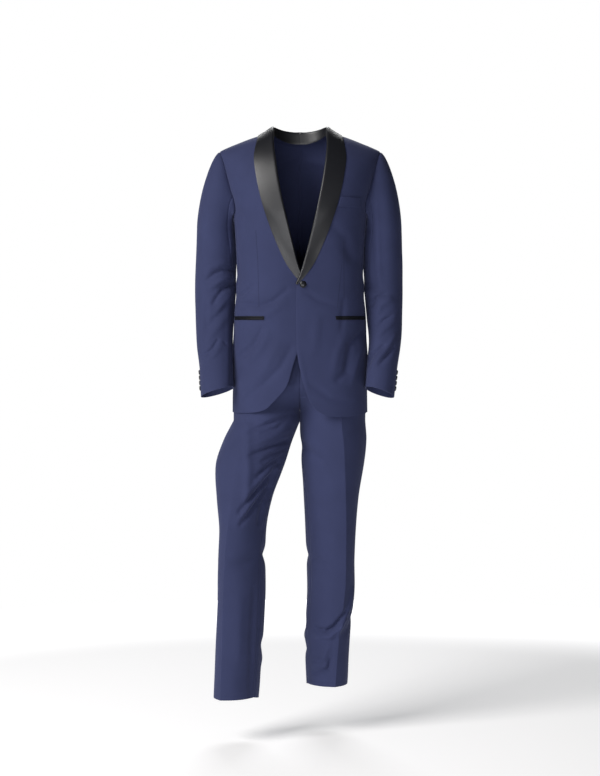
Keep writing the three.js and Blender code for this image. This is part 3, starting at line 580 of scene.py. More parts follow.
def shoulder_point(x, base_depth, share, flat, seam_depth):
    top = SHOULDER_LINE.at(abs(x), "z")
    return Vector((x, seam_depth + (base_depth - seam_depth) * flat, mix(ARMHOLE_HEIGHT, top, share)))


def rise_shares(rise):
    flat, share = rounded(rise * pi / 2, SHOULDER_ROUNDNESS)
    return max(flat, 0), min(share, 1)


def lap_lift(side, x, z):
    sideways = 1 - ease(abs(x), 0, LAP_REACH)
    crossing = 1 - ease(abs(z - BUTTON_HEIGHT - LAPEL_LAP_RISE), *LAPEL_LAP_REACH)
    below = 1 - ease(z, BUTTON_HEIGHT, BUTTON_HEIGHT + LAP_FADES)
    lift = sideways * (LAP_LIFT * below + LAPEL_LAP_LIFT * crossing)
    return lift if side == "left" else -lift


# %% Fronts: across 0 edge, 1 lapel, 2 side seam or armhole; up 0 hem, 1 pocket, 2 armhole, 3 shoulder
def front_level_x(side, across, z):
    edge = FRONT_EDGE[side].at(z, "x")
    lapel = max(LAPEL_EDGE.at(z, "x"), edge + LEAST_LAPEL)
    if across <= 1:
        return mix(edge, lapel, across)
    angle = mix(body_angle(z, lapel), radians(SIDE_SEAMS.at(z, "front")), across - 1)
    return body_point(z, angle).x


def front_point(side, across, up):
    edge = FRONT_EDGE[side]
    if up <= 2:
        z = mix(POCKET_HEIGHT, ARMHOLE_HEIGHT, up - 1)
        if up < 1:
            corner_z, corner_x = HEM_CORNER[side]
            lapel = max(LAPEL_EDGE.at(corner_z, "x"), corner_x + LEAST_LAPEL)
            bottom = mix(corner_x, lapel, across) if across < 1 else front_level_x(side, across, corner_z)
            z = mix(FRONT_HEM[side].at(bottom, "z"), POCKET_HEIGHT, up)
        x = front_level_x(side, across, z)
        point = body_point(z, body_angle(z, x))
        point.y -= lap_lift(side, x, z)
        return point
    flat, share = rise_shares(up - 2)
    base_x = front_level_x(side, across, ARMHOLE_HEIGHT)
    base = body_point(ARMHOLE_HEIGHT, body_angle(ARMHOLE_HEIGHT, base_x))
    inner = edge.at(mix(ARMHOLE_HEIGHT, SHOULDER_LINE.at(NECK_HALF, "z"), share), "x")
    lapel = LAPEL_EDGE.at(mix(ARMHOLE_HEIGHT, SHOULDER_LINE.at(COLLAR_EDGE_HALF, "z"), share), "x")
    x = mix(inner, lapel, across)
    if across > 1:
        start = front_level_x(side, 1, ARMHOLE_HEIGHT)
        x = mix(lapel, ARMHOLE.at(share, "front"), (base_x - start) / (ARMHOLE.at(0, "front") - start))
    return shoulder_point(x, base.y, share, flat, SHOULDER_SEAM_DEPTH)


# %% Side panels and backs
def back_height(up, top=ARMHOLE_HEIGHT):
    return mix(BACK_HEM, POCKET_HEIGHT, up) if up < 1 else mix(POCKET_HEIGHT, top, up - 1)


def side_point(across, up):
    z = back_height(up, ARMHOLE_HEIGHT - ARMHOLE_DIP * max(0, sin(pi * across)))
    return body_point(z, radians(mix(SIDE_SEAMS.at(z, "front"), SIDE_SEAMS.at(z, "back"), across)))


def upper_back(x, base_x, rise):
    flat, share = rise_shares(rise)
    base = body_point(ARMHOLE_HEIGHT, pi - body_angle(ARMHOLE_HEIGHT, base_x))
    in_neck = min(abs(x) / NECK_HALF, 1)
    hollow = sqrt(max(0, 1 - in_neck * in_neck))
    depth = SHOULDER_SEAM_DEPTH + (NAPE_DEPTH - SHOULDER_SEAM_DEPTH) * hollow * share * share
    point = shoulder_point(x, base.y, share, flat, depth)
    point.z -= (SHOULDER_TOP - NAPE_HEIGHT) * (1 - in_neck * in_neck) * share**3
    return point


def back_point(across, up):
    seam = radians(SIDE_SEAMS.at(ARMHOLE_HEIGHT, "back"))
    if up <= 2:
        z = back_height(up)
        return body_point(z, mix(pi, radians(SIDE_SEAMS.at(z, "back")), across))
    base_x = body_point(ARMHOLE_HEIGHT, mix(pi, seam, across)).x
    share = rise_shares(up - 2)[1]
    return upper_back(base_x * ARMHOLE.at(share, "back") / ARMHOLE.at(0, "back"), base_x, up - 2)


def back_column(x):
    angle = body_angle(ARMHOLE_HEIGHT, x / BACK_SPREAD)
    return angle / (pi - radians(SIDE_SEAMS.at(ARMHOLE_HEIGHT, "back")))


# %% Sleeves: degrees 0 outside, 90 front, 180 towards the body, 270 behind
ARMHOLE_STEPS = 8
RING_STEPS = 20


def armhole_point(step):
    under = step - ARMHOLE_STEPS
    under_steps = RING_STEPS - 2 * ARMHOLE_STEPS
    if under <= 0:
        return front_point("left", 2, 3 - step / ARMHOLE_STEPS)
    if under < under_steps:
        return side_point(under / under_steps, 2)
    return back_point(1, 2 + (under - under_steps) / ARMHOLE_STEPS)


def sleeve_section(side, turn, z):
    rows = SLEEVE[side]
    outwards, forwards = rounded(radians(turn), SLEEVE_ROUNDNESS)
    half = rows.at(z, "half")
    point = Vector((
        rows.at(z, "x") + half * outwards,
        rows.at(z, "y") - rows.at(z, "depth") * forwards,
        z - rows.at(z, "out") * outwards + rows.at(z, "back") * forwards,
    ))
    fold = tube_relief("sleeve", side, turn, point, forwards)
    return point + Vector((fold * outwards, -fold * forwards, 0))


def cap_point(side, turn, share):
    step = turn * RING_STEPS / 360
    start = armhole_point(step % RING_STEPS)
    lower = (1 - cos(radians(turn))) / 2
    in_front = abs(sin(radians(turn)))
    start += Vector((CAP_GAP, CAP_UNDER * sin(radians(turn)), CAP_UNDER * (2 * lower - 1)))
    reach = mix(mix(CAP_REACH["top"], CAP_REACH["bottom"], lower), CAP_REACH["front"], in_front)
    fuller = Vector((0, -CAP_FULL * sin(radians(turn)), 0))
    out = start + fuller + Vector((reach, 0, CAP_RISE * (1 - ease(lower, 0, 0.4))))
    end = sleeve_section(side, turn, SLEEVE_TOP)
    above = end + fuller / 2 + Vector((0, 0, mix(CAP_DROP["outside"], CAP_DROP["inside"], lower)))
    rest = 1 - share
    return start * rest**3 + out * 3 * rest**2 * share + above * 3 * rest * share**2 + end * share**3


def sleeve_point(side, part, row, share):
    height = mix(CAP_SEAM_TOP, SLEEVE_TOP, row) if row <= 1 else row
    front = SLEEVE_SEAMS.at(height, "front")
    back = SLEEVE_SEAMS.at(height, "back")
    turn = mix(front, back - 360, share) if part == "top" else mix(back, front, share)
    if row <= 1:
        return cap_point(side, turn, row)
    return sleeve_section(side, turn % 360, row)


# %% Trouser legs: degrees 0 inseam, 90 front crease, 180 outseam, 270 back crease
def leg_section(side, turn, z):
    rows = LEG[side]
    soft = ease(z, *SOFT_THIGH) if side == "right" and 0 < turn < 180 else 0
    across, along = rounded(radians(turn), mix(LEG_ROUNDNESS, THIGH_ROUNDNESS, soft))
    from_crease = abs(abs(turn - 180) - 90)
    crease = CREASE_HEIGHT * (1 - SOFT_CREASE * soft) * max(0, 1 - from_crease / CREASE_REACH) ** 2
    angle = radians(rows.at(z, "turn"))

    def leg_place(fold):
        outwards = -(rows.at(z, "across") + fold) * across
        forwards = (rows.at(z, "length") + fold + crease) * along
        x = rows.at(z, "x") + outwards * cos(angle) + forwards * sin(angle)
        y = rows.at(z, "y") + outwards * sin(angle) - forwards * cos(angle)
        return Vector((x, y, z))

    facing = along * cos(angle) + across * sin(angle)
    return leg_place(tube_relief("leg", side, turn, leg_place(0), facing))


def seat_section(turn, z):
    to_front, to_side = rounded(radians(turn / 2), SEAT_ROUNDNESS)
    deep = SEAT.at(z, "front" if to_front > 0 else "back")
    return Vector((SEAT.at(z, "half") * to_side, -deep * to_front, z))


def leg_point(side, turn, z):
    seat = ease(z, CROTCH_HEIGHT, CROTCH_HEIGHT + RISE_BLEND)
    point = leg_section(side, turn, z).lerp(seat_section(turn, z), seat)
    above_fork = ease(z, CROTCH_HEIGHT, CROTCH_HEIGHT + INSEAM_CLOSES)
    point.x = max(point.x, mix(INSEAM_CLEAR, SEAM / 2, above_fork))
    from_fork = (z - CROTCH_HEIGHT - FORK_RISE) / FORK_REACH
    point.x -= FORK_CLOSES * exp(-from_fork * from_fork) * max(0, cos(radians(turn))) ** 12
    hem = 1 - ease(z, LEG_HEM[side], LEG_HEM[side] + HEM_DROP_REACH)
    point.z -= HEM_DROP * hem * max(0, -sin(radians(turn)))
    return point


print("nape to back hem:", NAPE_HEIGHT - BACK_HEM, "mm")

# %% [markdown]
# ## From a grid to a sewn panel
# bmesh.ops.create_grid gives a flat net, and each of its points is moved to its place on the form. Lines of
# the net lie close together beside a seam, because the cloth dips there, where the two allowances are
# pressed open. The net also gets a UV map in metres, so that the weave keeps its true size and follows the
# panel.

# %% Rows and columns of a net
CLOSE_STEPS = (0.4, 1, 1.9)


def evenly(low, high, steps):
    return [mix(low, high, i / steps) for i in range(steps + 1)]


def net(low, high, steps, close_low=0.0, close_high=0.0):
    """Even places from low to high, with more of them close to the ends that are sewn."""
    places = evenly(low, high, steps)
    sign = 1 if high > low else -1
    if close_low:
        places += [low + sign * close_low * n for n in CLOSE_STEPS]
    if close_high:
        places += [high - sign * close_high * n for n in CLOSE_STEPS]
    return sorted(places, reverse=high < low)


# %% Lay a net on its form
SEAM_DIP = 1.1
SEAM_REACH = 2.4
UNEVENNESS = 0.5
UNEVEN_SPACING = 55


def to_frame(point, sign):
    return Vector((point.x * sign, point.y - SHOULDER_SEAM_DEPTH, point.z - NAPE_HEIGHT)) / 1000


def net_lengths(points):
    """How far each point lies from its row's start and from its column's start."""
    across = [[0.0] for _ in points]
    for lengths, row in zip(across, points):
        for before, point in zip(row, row[1:]):
            lengths.append(lengths[-1] + (point - before).length)
    upwards = [[0.0] * len(points[0])]
    for below, row in zip(points, points[1:]):
        upwards.append([so_far + (b - a).length for so_far, a, b in zip(upwards[-1], below, row)])
    return across, upwards


def lay_net(rows, columns, surface, sign, seams=(), relief=None):
    """A bmesh of the grid on its surface, mirrored for the right side, with a UV map in metres."""
    bm = bmesh.new()
    bmesh.ops.create_grid(bm, x_segments=len(columns) - 1, y_segments=len(rows) - 1, size=0.5)
    bm.verts.index_update()
    wide = len(columns)
    points = [[surface(row, column) for column in columns] for row in rows]
    across, upwards = net_lengths(points)
    for vert in bm.verts:
        i, j = divmod(vert.index, wide)
        vert.co = to_frame(points[i][j], sign)
    if sign < 0:
        bmesh.ops.reverse_faces(bm, faces=bm.faces)
    bm.normal_update()
    for vert in bm.verts:
        i, j = divmod(vert.index, wide)
        point = points[i][j]
        move = relief(point) if relief else 0
        move += UNEVENNESS * noise.noise(Vector((point.x * sign, point.y, point.z)) / UNEVEN_SPACING)
        from_edge = {"first": across[i][j], "last": across[i][-1] - across[i][j]}
        from_edge["top"] = upwards[-1][j] - upwards[i][j]
        for edge in seams:
            move -= SEAM_DIP * exp(-((from_edge[edge] / SEAM_REACH) ** 2))
        vert.co += vert.normal * move / 1000
    layer = bm.loops.layers.uv.new("cloth")
    for face in bm.faces:
        for loop in face.loops:
            i, j = divmod(loop.vert.index, wide)
            loop[layer].uv = (across[i][j] / 1000, upwards[i][j] / 1000)
    widest = max(row[-1] for row in across) / 1000
    longest = max(upwards[-1]) / 1000
    return bm, (widest, longest)


# %% Give a piece its wall and its solid
RIM_ANGLE = radians(60)
RIM_SHARE = 0.25


def add_modifier(piece, kind, **settings):
    modifier = piece.modifiers.new(kind.lower(), kind)
    for name, value in settings.items():
        setattr(modifier, name, value)


def finish_piece(name, bm, node, materials, thick, levels=0):
    """Turns a bmesh into an object with the wall of its cloth, standing for one solid."""
    mesh = bpy.data.meshes.new(name)
    area = sum(face.calc_area() for face in bm.faces)
    bm.to_mesh(mesh)
    bm.free()
    piece = bpy.data.objects.new(name, mesh)
    scene.collection.objects.link(piece)
    for material in materials:
        mesh.materials.append(material)
    if levels:
        add_modifier(
            piece, "SUBSURF", levels=levels, render_levels=levels, boundary_smooth="PRESERVE_CORNERS"
        )
    if thick:
        add_modifier(
            piece, "SOLIDIFY", thickness=thick / 1000, offset=0, material_offset=len(materials) - 1,
            use_quality_normals=True,
        )
        add_modifier(
            piece, "BEVEL", width=RIM_SHARE * thick / 1000, segments=2, limit_method="ANGLE",
            angle_limit=RIM_ANGLE,
        )
    if piece.modifiers:
        shaped = piece.evaluated_get(bpy.context.evaluated_depsgraph_get())
        made = bpy.data.meshes.new_from_object(shaped)
        piece.modifiers.clear()
        piece.data = made
    piece.data.shade_smooth()
    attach(piece, "root")
    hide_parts(node)
    return piece, area


# %% [markdown]
# ## Cloth, satin and buttons
# Wool twill is matt, with a soft bloom where it turns away from the light, and fine diagonal ribs. Satin is
# smooth along its long threads, so its shine is broad. Both are made of nodes on the panels' own UV maps.

# %% Node helpers
def set_input(material, socket, source):
    """An input takes a plain value or another node's output."""
    if isinstance(source, bpy.types.NodeSocket):
        material.node_tree.links.new(source, socket)
    else:
        socket.default_value = source


def set_shader(material, **settings):
    inputs = material.node_tree.nodes["Principled BSDF"].inputs
    for name, source in settings.items():
        set_input(material, inputs[name.replace("_", " ")], source)


def new_material(name, base, **settings):
    material = bpy.data.materials.new(name)
    material.use_nodes = True
    set_shader(material, Base_Color=(*base, 1), **settings)
    return material


def add_node(material, kind, inputs=(), **settings):
    """A new node, with its settings and any more inputs by name."""
    node = material.node_tree.nodes.new("ShaderNode" + kind)
    for name, value in settings.items():
        if hasattr(node, name):
            setattr(node, name, value)
        else:
            node.inputs[name.replace("_", " ")].default_value = value
    for socket, source in dict(inputs).items():
        set_input(material, node.inputs[socket], source)
    return node


def calculate(material, operation, *inputs):
    return add_node(material, "Math", dict(enumerate(inputs)), operation=operation).outputs[0]


def noise_texture(material, place, scale, detail):
    return add_node(material, "TexNoise", {"Vector": place}, Scale=scale, Detail=detail).outputs["Fac"]


# %% Lines painted into the wool: dart shade and stitching
LINE_HALF = 0.0011


# Darkening along a dart is painted shade for the dart's trough; lightening along the fly is its stitching.
def dart_shade_and_stitch_line(material, place, line):
    """How much the tone changes beside a straight line across a panel, and 0 away from it."""
    x1, z1, x2, z2, tone = line
    wide = (x2 - x1) / 1000
    tall = (z2 - z1) / 1000
    along = add_node(
        material, "Mapping", {"Vector": place}, vector_type="TEXTURE",
        Location=(x1 / 1000, 0, (z1 - NAPE_HEIGHT) / 1000), Rotation=(0, atan2(-tall, wide), 0),
        Scale=(hypot(wide, tall), 1, 1),
    )
    parts = add_node(material, "SeparateXYZ", {0: along.outputs[0]}).outputs
    inside = calculate(material, "COMPARE", parts["X"], 0.5, 0.5)
    away = calculate(material, "ABSOLUTE", parts["Z"])
    beside = add_node(material, "MapRange", {"Value": away}, From_Max=LINE_HALF, To_Min=tone - 1, To_Max=0)
    return calculate(material, "MULTIPLY", inside, beside.outputs[0])


# %% The wool twill
WOOL_BASE = (0.027, 0.033, 0.082)
WOOL_BLOOM = 0.12
BLOOM_TINT = (0.55, 0.6, 1, 1)
RIB = 0.0016
WAVES_IN_ONE_SCALE = 3.2
RIB_SLANT = radians(27)
FIBRES = 900
CLOUDS = 14
DARKEST, LIGHTEST = 0.82, 1.2
# The darts' dark lines are painted shade for each dart's narrow trough, multiplied into the wool's colour.
DART_SHADE_LINES = {
    "right": [(-111, 1282, -106, 1207, 0.55), (-106, 1207, -103, 1089, 0.55)],
    "left": [(110, 1254, 111, 1112, 0.55), (105, 1197, 94, 1087, 0.6)],
}
FLY_STITCHING = [(-3, 862, 15, 862, 1.7)]


def wool(name, base=WOOL_BASE, bloom=WOOL_BLOOM, lines=()):
    material = new_material(
        name, base, Roughness=0.82, Specular_IOR_Level=0.15,
        Sheen_Weight=bloom, Sheen_Roughness=0.45, Sheen_Tint=BLOOM_TINT,
    )
    place = add_node(material, "TexCoord").outputs
    turned = add_node(material, "Mapping", {"Vector": place["UV"]}, Rotation=(0, 0, RIB_SLANT))
    waves = 1 / RIB / WAVES_IN_ONE_SCALE
    ribs = add_node(
        material, "TexWave", {"Vector": turned.outputs[0]}, Scale=waves, Distortion=0.6, Detail=1
    )
    fibres = noise_texture(material, place["UV"], FIBRES, 3)
    clouds = noise_texture(material, place["Object"], CLOUDS, 2)
    weave = calculate(material, "ADD", ribs.outputs["Fac"], fibres)
    average = calculate(material, "DIVIDE", calculate(material, "ADD", weave, clouds), 3)
    tone = add_node(material, "ValToRGB", {"Fac": average})
    for element, position, level in zip(tone.color_ramp.elements, (0.25, 0.75), (DARKEST, LIGHTEST)):
        element.position = position
        element.color = (*[min(1, channel * level) for channel in base], 1)
    colour = tone.outputs["Color"]
    for line in lines:
        level = calculate(material, "ADD", dart_shade_and_stitch_line(material, place["Object"], line), 1)
        scaled = add_node(material, "VectorMath", {0: colour, "Scale": level}, operation="SCALE")
        colour = scaled.outputs[0]
    bump = add_node(material, "Bump", {"Height": weave}, Strength=0.35, Distance=0.0002)
    set_shader(material, Base_Color=colour, Normal=bump.outputs["Normal"])
    return material


NAVY_WOOL = wool("navy wool twill")
DART_SHADE_WOOL = {side: wool(f"navy wool, {side} darts", lines=painted_dart_shade) for side, painted_dart_shade in DART_SHADE_LINES.items()}
FLY_WOOL = wool("navy wool, fly stitching", lines=FLY_STITCHING)
WOOL_BACK = wool("wrong side of the wool", [channel * 1.2 for channel in WOOL_BASE], 0.05)

# %% The satin and the buttons
SATIN_BASE = (0.006, 0.0065, 0.009)
THREADS = (2200, 160, 1)
RIPPLES = 22
MARBLE = 420


def satin(name, roughness, shine):
    material = new_material(
        name, SATIN_BASE, Roughness=roughness, Specular_IOR_Level=shine,
        Sheen_Weight=0.03, Sheen_Roughness=0.3,
    )
    place = add_node(material, "TexCoord").outputs
    long = add_node(material, "Mapping", {"Vector": place["UV"]}, Scale=THREADS)
    threads = noise_texture(material, long.outputs[0], 1, 2)
    height = calculate(material, "ADD", threads, noise_texture(material, place["Object"], RIPPLES, 1))
    rough = add_node(
        material, "MapRange", {"Value": threads}, To_Min=roughness - 0.06, To_Max=roughness + 0.08
    )
    bump = add_node(material, "Bump", {"Height": height}, Strength=0.12, Distance=0.0003)
    set_shader(material, Roughness=rough.outputs[0], Normal=bump.outputs["Normal"])
    return material


BLACK_SATIN = satin("black satin", 0.42, 0.5)
NARROW_SATIN = satin("black satin, turned narrow", 0.5, 0.12)
BUTTON_SATIN = satin("black satin, on the button", 0.3, 0.3)
SATIN_BACK = new_material("wrong side of the satin", (0.01, 0.01, 0.012), Roughness=0.7)


def resin():
    material = new_material(
        "black resin", (0.012, 0.012, 0.015), Roughness=0.22, Specular_IOR_Level=0.5, Coat_Weight=0.3
    )
    place = add_node(material, "TexCoord").outputs["Object"]
    tone = add_node(material, "ValToRGB", {"Fac": noise_texture(material, place, MARBLE, 3)})
    tone.color_ramp.elements[0].color = (0.008, 0.008, 0.01, 1)
    tone.color_ramp.elements[1].color = (0.03, 0.028, 0.03, 1)
    set_shader(material, Base_Color=tone.outputs["Color"])
    return material


BLACK_RESIN = resin()
print("materials:", [material.name for material in bpy.data.materials])

# %% [markdown]
# ## Jacket fronts
# A front runs from the shoulder seam to the rounded hem in one piece of cloth, shaped by a dart that shows
# only as a dark line of painted shade in the wool. The left one laps over the right one and the fastened
# button pulls both, so short folds run out from it.

# %% Fronts
SIDES = (("left", 1), ("right", -1))
BODY_ROWS = [*net(0, 1, 64), *net(1, 2, 70)[1:], *net(2, 3, 48, 0, 0.006)[1:]]
LAPEL_STEPS = 10
FRONT_STEPS = 58
sheets = []


def sew_panel(
    name, rows, columns, surface, sign, seams=(), relief=None, outside=NAVY_WOOL, thick=JACKET_CLOTH
):
    """One panel of wool, kept with its flat size."""
    bm, flat = lay_net(rows, columns, surface, sign, seams, relief)
    piece, area = finish_piece(name + "_cloth", bm, name, [outside, WOOL_BACK], thick)
    sheets.append((piece, flat, area))
    print(name, "cut about", [round(size, 3) for size in flat], "area", round(area, 4))


for side, sign in SIDES:
    columns = [*evenly(0, 1, LAPEL_STEPS), *net(1, 2, FRONT_STEPS, 0, 0.014)[1:]]
    surface = lambda up, across: front_point(side, across, up)
    relief = fold_relief(FRONT_FOLDS[side])
    name = "jacket_front_" + side
    sew_panel(name, BODY_ROWS, columns, surface, sign, ("last", "top"), relief, DART_SHADE_WOOL[side])

# %% [markdown]
# ## Side panels and backs
# The side panel takes the jacket in at the waist. The two backs meet in a centre seam that follows the
# spine's hollow.

# %% Side panels and backs
SIDE_FOLDS_START = 95
side_lines = fold_lines(SIDE_FOLDS)
side_relief = lambda point: relief_at(side_lines, SIDE_FOLDS_START + point.y, point.z)
side_columns = net(0, 1, 18, 0.028, 0.028)
side_rows = [up for up in BODY_ROWS if up <= 2]
surface = lambda up, across: side_point(across, up)
for side, sign in SIDES:
    sew_panel("jacket_side_" + side, side_rows, side_columns, surface, sign, ("first", "last"), side_relief)

neck = back_column(NECK_HALF)
back_columns = [*net(1, neck, 36, 0.012, 0), *net(neck, 0, 20, 0, 0.012)[1:]]
surface = lambda up, across: back_point(across, up)
for side, sign in SIDES:
    relief = fold_relief(BACK_FOLDS[side])
    sew_panel("jacket_back_" + side, BODY_ROWS, back_columns, surface, sign, ("first", "last", "top"), relief)

# %% [markdown]
# ## Shawl collar
# One strip of satin is folded round the front edge and the neck. Each row of the net is a cross-section: the
# facing inside, the turn at the edge, and the face that lies on the front. Subdivision rounds the turn.

# %% Collar sizes
ROLL_LIFT = 2.4
FACING_ACROSS = 0.25
STAND_STARTS = 2.5
STAND_CLEARS = 2
SIDE_STAND = 16
FALL_BEND = 1.2
COLLAR_CLEAR = 1.1
LAPEL_GAP = 0.4
COLLAR_BACK = Table(
    "step neck edge share stand",
    (0, 69, 105, 1, 16),
    (1, 67.5, 101, 0.985, 17),
    (2, 60, 89, 0.968, 19),
    (3, 46, 67, 0.95, 22),
    (4, 25, 37, 0.935, 25),
    (5, 0, 0, 0.925, 26),
)
FACE_STEPS = 12
SMALL_STEP = 0.01
LIFT = JACKET_CLOTH / 2 + LAPEL_GAP + SATIN / 2
COLLAR_FOLDS = read_folds("""
    16 0.8 48,1300 96,1352
    14 -0.7 30,1215 60,1262
""")


def normal_of(surface, row, column, step):
    up = surface(row, column) - surface(row - step, column)
    return (surface(row, column + step) - surface(row, column)).cross(up).normalized()


# %% Collar cross-sections
def folded_row(edge, normal, opening, stand, facing, face):
    def fold_point(out, open_by, up):
        return edge + normal * out + opening * open_by + Vector((0, 0, stand * up))

    rolled = LIFT + ROLL_LIFT
    clear = LIFT * min(1, stand / STAND_CLEARS)
    turn = [(-LIFT, clear, 0.45), (-LIFT * 0.6, LIFT, 0.9), (rolled * 0.55, LIFT * 1.3, 1)]
    return [facing, *(fold_point(*place) for place in turn), *face]


def on_face(point, normal, share, clear, stand):
    """Lifts a point of the front onto the collar's face, share of the way from roll to edge."""
    rest = 1 - share
    lifted = point + normal * (LIFT + ROLL_LIFT * rest * rest + clear)
    lifted.z += stand * rest**FALL_BEND
    return lifted


def lapel_row(side, up):
    surface = lambda row, column: front_point(side, column, row)
    stand = SIDE_STAND * ease(up, STAND_STARTS, 3)
    standing = min(1, stand / STAND_CLEARS)
    edge = surface(up, 0)
    normal = normal_of(surface, up, 0, SMALL_STEP)
    opening = (edge - surface(up, 0.1)).normalized()
    facing = surface(up, FACING_ACROSS * (1 - standing)) - normal * LIFT
    facing += opening * (LIFT + SEAM) * standing
    facing.z -= SATIN * standing
    face = []
    for share in evenly(0, 1, FACE_STEPS):
        across = normal_of(surface, up, share, SMALL_STEP)
        face.append(on_face(surface(up, share), across, share, COLLAR_CLEAR * stand / SIDE_STAND, stand))
    return folded_row(edge, normal, opening, stand, facing, face)


def neck_row(step):
    def surface(share, x):
        return upper_back(x, x / BACK_SPREAD, asin(min(1, share ** (SHOULDER_ROUNDNESS / 2))) * 2 / pi)

    def normal_at(share, x):
        up = surface(share, x) - surface(share - SMALL_STEP, x)
        return up.cross(surface(share, x + 1) - surface(share, x)).normalized()

    neck = COLLAR_BACK.at(step, "neck")
    stand = COLLAR_BACK.at(step, "stand")
    edge = surface(1, neck)
    opening = Vector((-neck, SHOULDER_SEAM_DEPTH - edge.y, 0)).normalized()
    facing = edge + opening * (LIFT + SEAM)
    facing.z = edge.z - SATIN
    face = []
    for share in evenly(0, 1, FACE_STEPS):
        x = mix(neck, COLLAR_BACK.at(step, "edge"), share)
        along = mix(1, COLLAR_BACK.at(step, "share"), share)
        face.append(on_face(surface(along, x), normal_at(along, x), share, COLLAR_CLEAR, stand))
    return folded_row(edge, normal_at(1, neck), opening, stand, facing, face)


# %% Collar halves
BUTTON_ROW = 1 + (BUTTON_HEIGHT - POCKET_HEIGHT) / (ARMHOLE_HEIGHT - POCKET_HEIGHT)
LAST_LAPEL_ROW = 2.999
FIRST_NECK_STEP = 0.3
LAST_NECK_STEP = 5
collars = []
for side, sign in SIDES:
    sections = [lapel_row(side, up) for up in evenly(BUTTON_ROW, LAST_LAPEL_ROW, 80)]
    sections += [neck_row(step) for step in evenly(FIRST_NECK_STEP, LAST_NECK_STEP, 26)]
    surface = lambda row, column: sections[row][column]
    rows = range(len(sections))
    bm, flat = lay_net(rows, range(len(sections[0])), surface, sign, (), fold_relief(COLLAR_FOLDS))
    name = "shawl_collar_" + side
    piece, area = finish_piece(name + "_satin", bm, name, [BLACK_SATIN, SATIN_BACK], SATIN, 1)
    collars.append((piece, flat, area))
    print(name, "cut about", [round(size, 3) for size in flat])

# %% [markdown]
# ## Pockets
# Each hip pocket is a slit between two jets, thin lips of satin. The chest pocket has a welt of the jacket's
# own cloth. All are laid on the front's own surface and lifted off it, with a crowned face.

# %% Jets and welt
JET = {"from": 1.25, "to": 1.97, "height": 4.4, "lift": 0.4, "thick": 1.2}
WELT = {"from": 1.03, "to": 1.64, "bottom": 1340, "height": 25, "lift": 0.5, "thick": 1.6}


def up_at(side, across, z):
    """How far up a front a height lies, in one column."""
    low, high = 0.5, 3
    for _ in range(30):
        middle = (low + high) / 2
        if front_point(side, across, middle).z < z:
            low = middle
        else:
            high = middle
    return low


def strip(side, sign, node, size, low, materials, crown):
    """A narrow piece on a front, from low upwards by the size's height."""
    rows = evenly(0, 1, 8)
    columns = evenly(size["from"], size["to"], 28)

    def surface(share, across):
        return front_point(side, across, up_at(side, across, low + size["height"] * share))

    bm, _ = lay_net(rows, columns, surface, sign, (), fold_relief(FRONT_FOLDS[side]))
    bm.normal_update()
    out = JACKET_CLOTH / 2 + size["lift"] + size["thick"] / 2
    for vert in bm.verts:
        share = rows[vert.index // len(columns)]
        rounding = crown * (1 - (2 * share - 1) ** 2)
        vert.co += vert.normal * (out + rounding) / 1000
    piece, _ = finish_piece(node + "_turned", bm, node, materials, size["thick"])
    return piece


pocket_pieces = {"left": [], "right": []}
for side, sign in SIDES:
    for edge, low in (("upper", POCKET_HEIGHT), ("lower", POCKET_HEIGHT - JET["height"] - SEAM)):
        node = f"pocket_jet_{edge}_{side}"
        jet = strip(side, sign, node, JET, low, [NARROW_SATIN, SATIN_BACK], 0.5)
        pocket_pieces[side].append(jet)
welt = strip("left", 1, "chest_welt", WELT, WELT["bottom"], [NAVY_WOOL, WOOL_BACK], 0.4)
pocket_pieces["left"].append(welt)
print("pocket pieces:", [piece.name for rows in pocket_pieces.values() for piece in rows])

# %% [markdown]
# ## Sleeves
# A tailored sleeve has a wide top half and a narrow under half. Its cap is a curve from the armhole out over
# the shoulder, a little fuller than the hole, so that it stands up in a soft ridge. The cloth breaks at the
# elbow.

# %% Sleeves
CAP_ROWS = net(0, 1, 22, 0.012, 0)
SLEEVE_ROWS = [*evenly(CUFF_HEIGHT, SLEEVE_TOP, 150)[:-1], *reversed(CAP_ROWS)]
for side, sign in SIDES:
    for part, steps, close in (("top", 84, 0.006), ("under", 32, 0.014)):
        surface = lambda row, share: sleeve_point(side, part, row, share)
        columns = net(0, 1, steps, close, close)
        sew_panel(f"sleeve_{part}_{side}", SLEEVE_ROWS, columns, surface, sign, ("first", "last", "top"))

# %% [markdown]
# ## Trousers
# Each leg has a front and a back, pressed to a sharp crease down the middle of both. The crease is a narrow
# ridge, so the columns of the net crowd together on it.

# %% Trouser fronts and backs
KNEE_ROWS_END = 560
LEG_TOP_ROWS = net(KNEE_ROWS_END, WAIST_SEAM, 118, 0, 1.6)[1:]
CREASE_COLUMNS = (-2, -0.9, 0.9, 2)
for side, sign in SIDES:
    rows = [*evenly(LEG_HEM[side], KNEE_ROWS_END, 110), *LEG_TOP_ROWS]
    surface = lambda z, turn: leg_point(side, turn, z)
    for part, start in (("front", 0), ("back", 180)):
        crease = [start + 90 + beside for beside in CREASE_COLUMNS]
        columns = sorted([*net(start, start + 180, 60, 1.8, 1.8), *crease])
        name = f"trouser_{part}_{side}"
        outside = FLY_WOOL if name == "trouser_front_left" else NAVY_WOOL
        seams = ("first", "last", "top")
        sew_panel(name, rows, columns, surface, sign, seams, None, outside, TROUSER_CLOTH)

# %% Waistband and fly facing
OPENING = 0.12
FLY_BOTTOM = 872
FLY_COLUMNS = (0.6, 22)
FLY_CLEAR = 0.6
rows = evenly(WAIST_SEAM + SEAM, WAISTBAND_TOP, 8)
columns = evenly(OPENING, 360 - OPENING, 150)
surface = lambda z, turn: seat_section(turn * 2, z)
sew_panel("trouser_waistband", rows, columns, surface, 1, thick=2 * TROUSER_CLOTH)


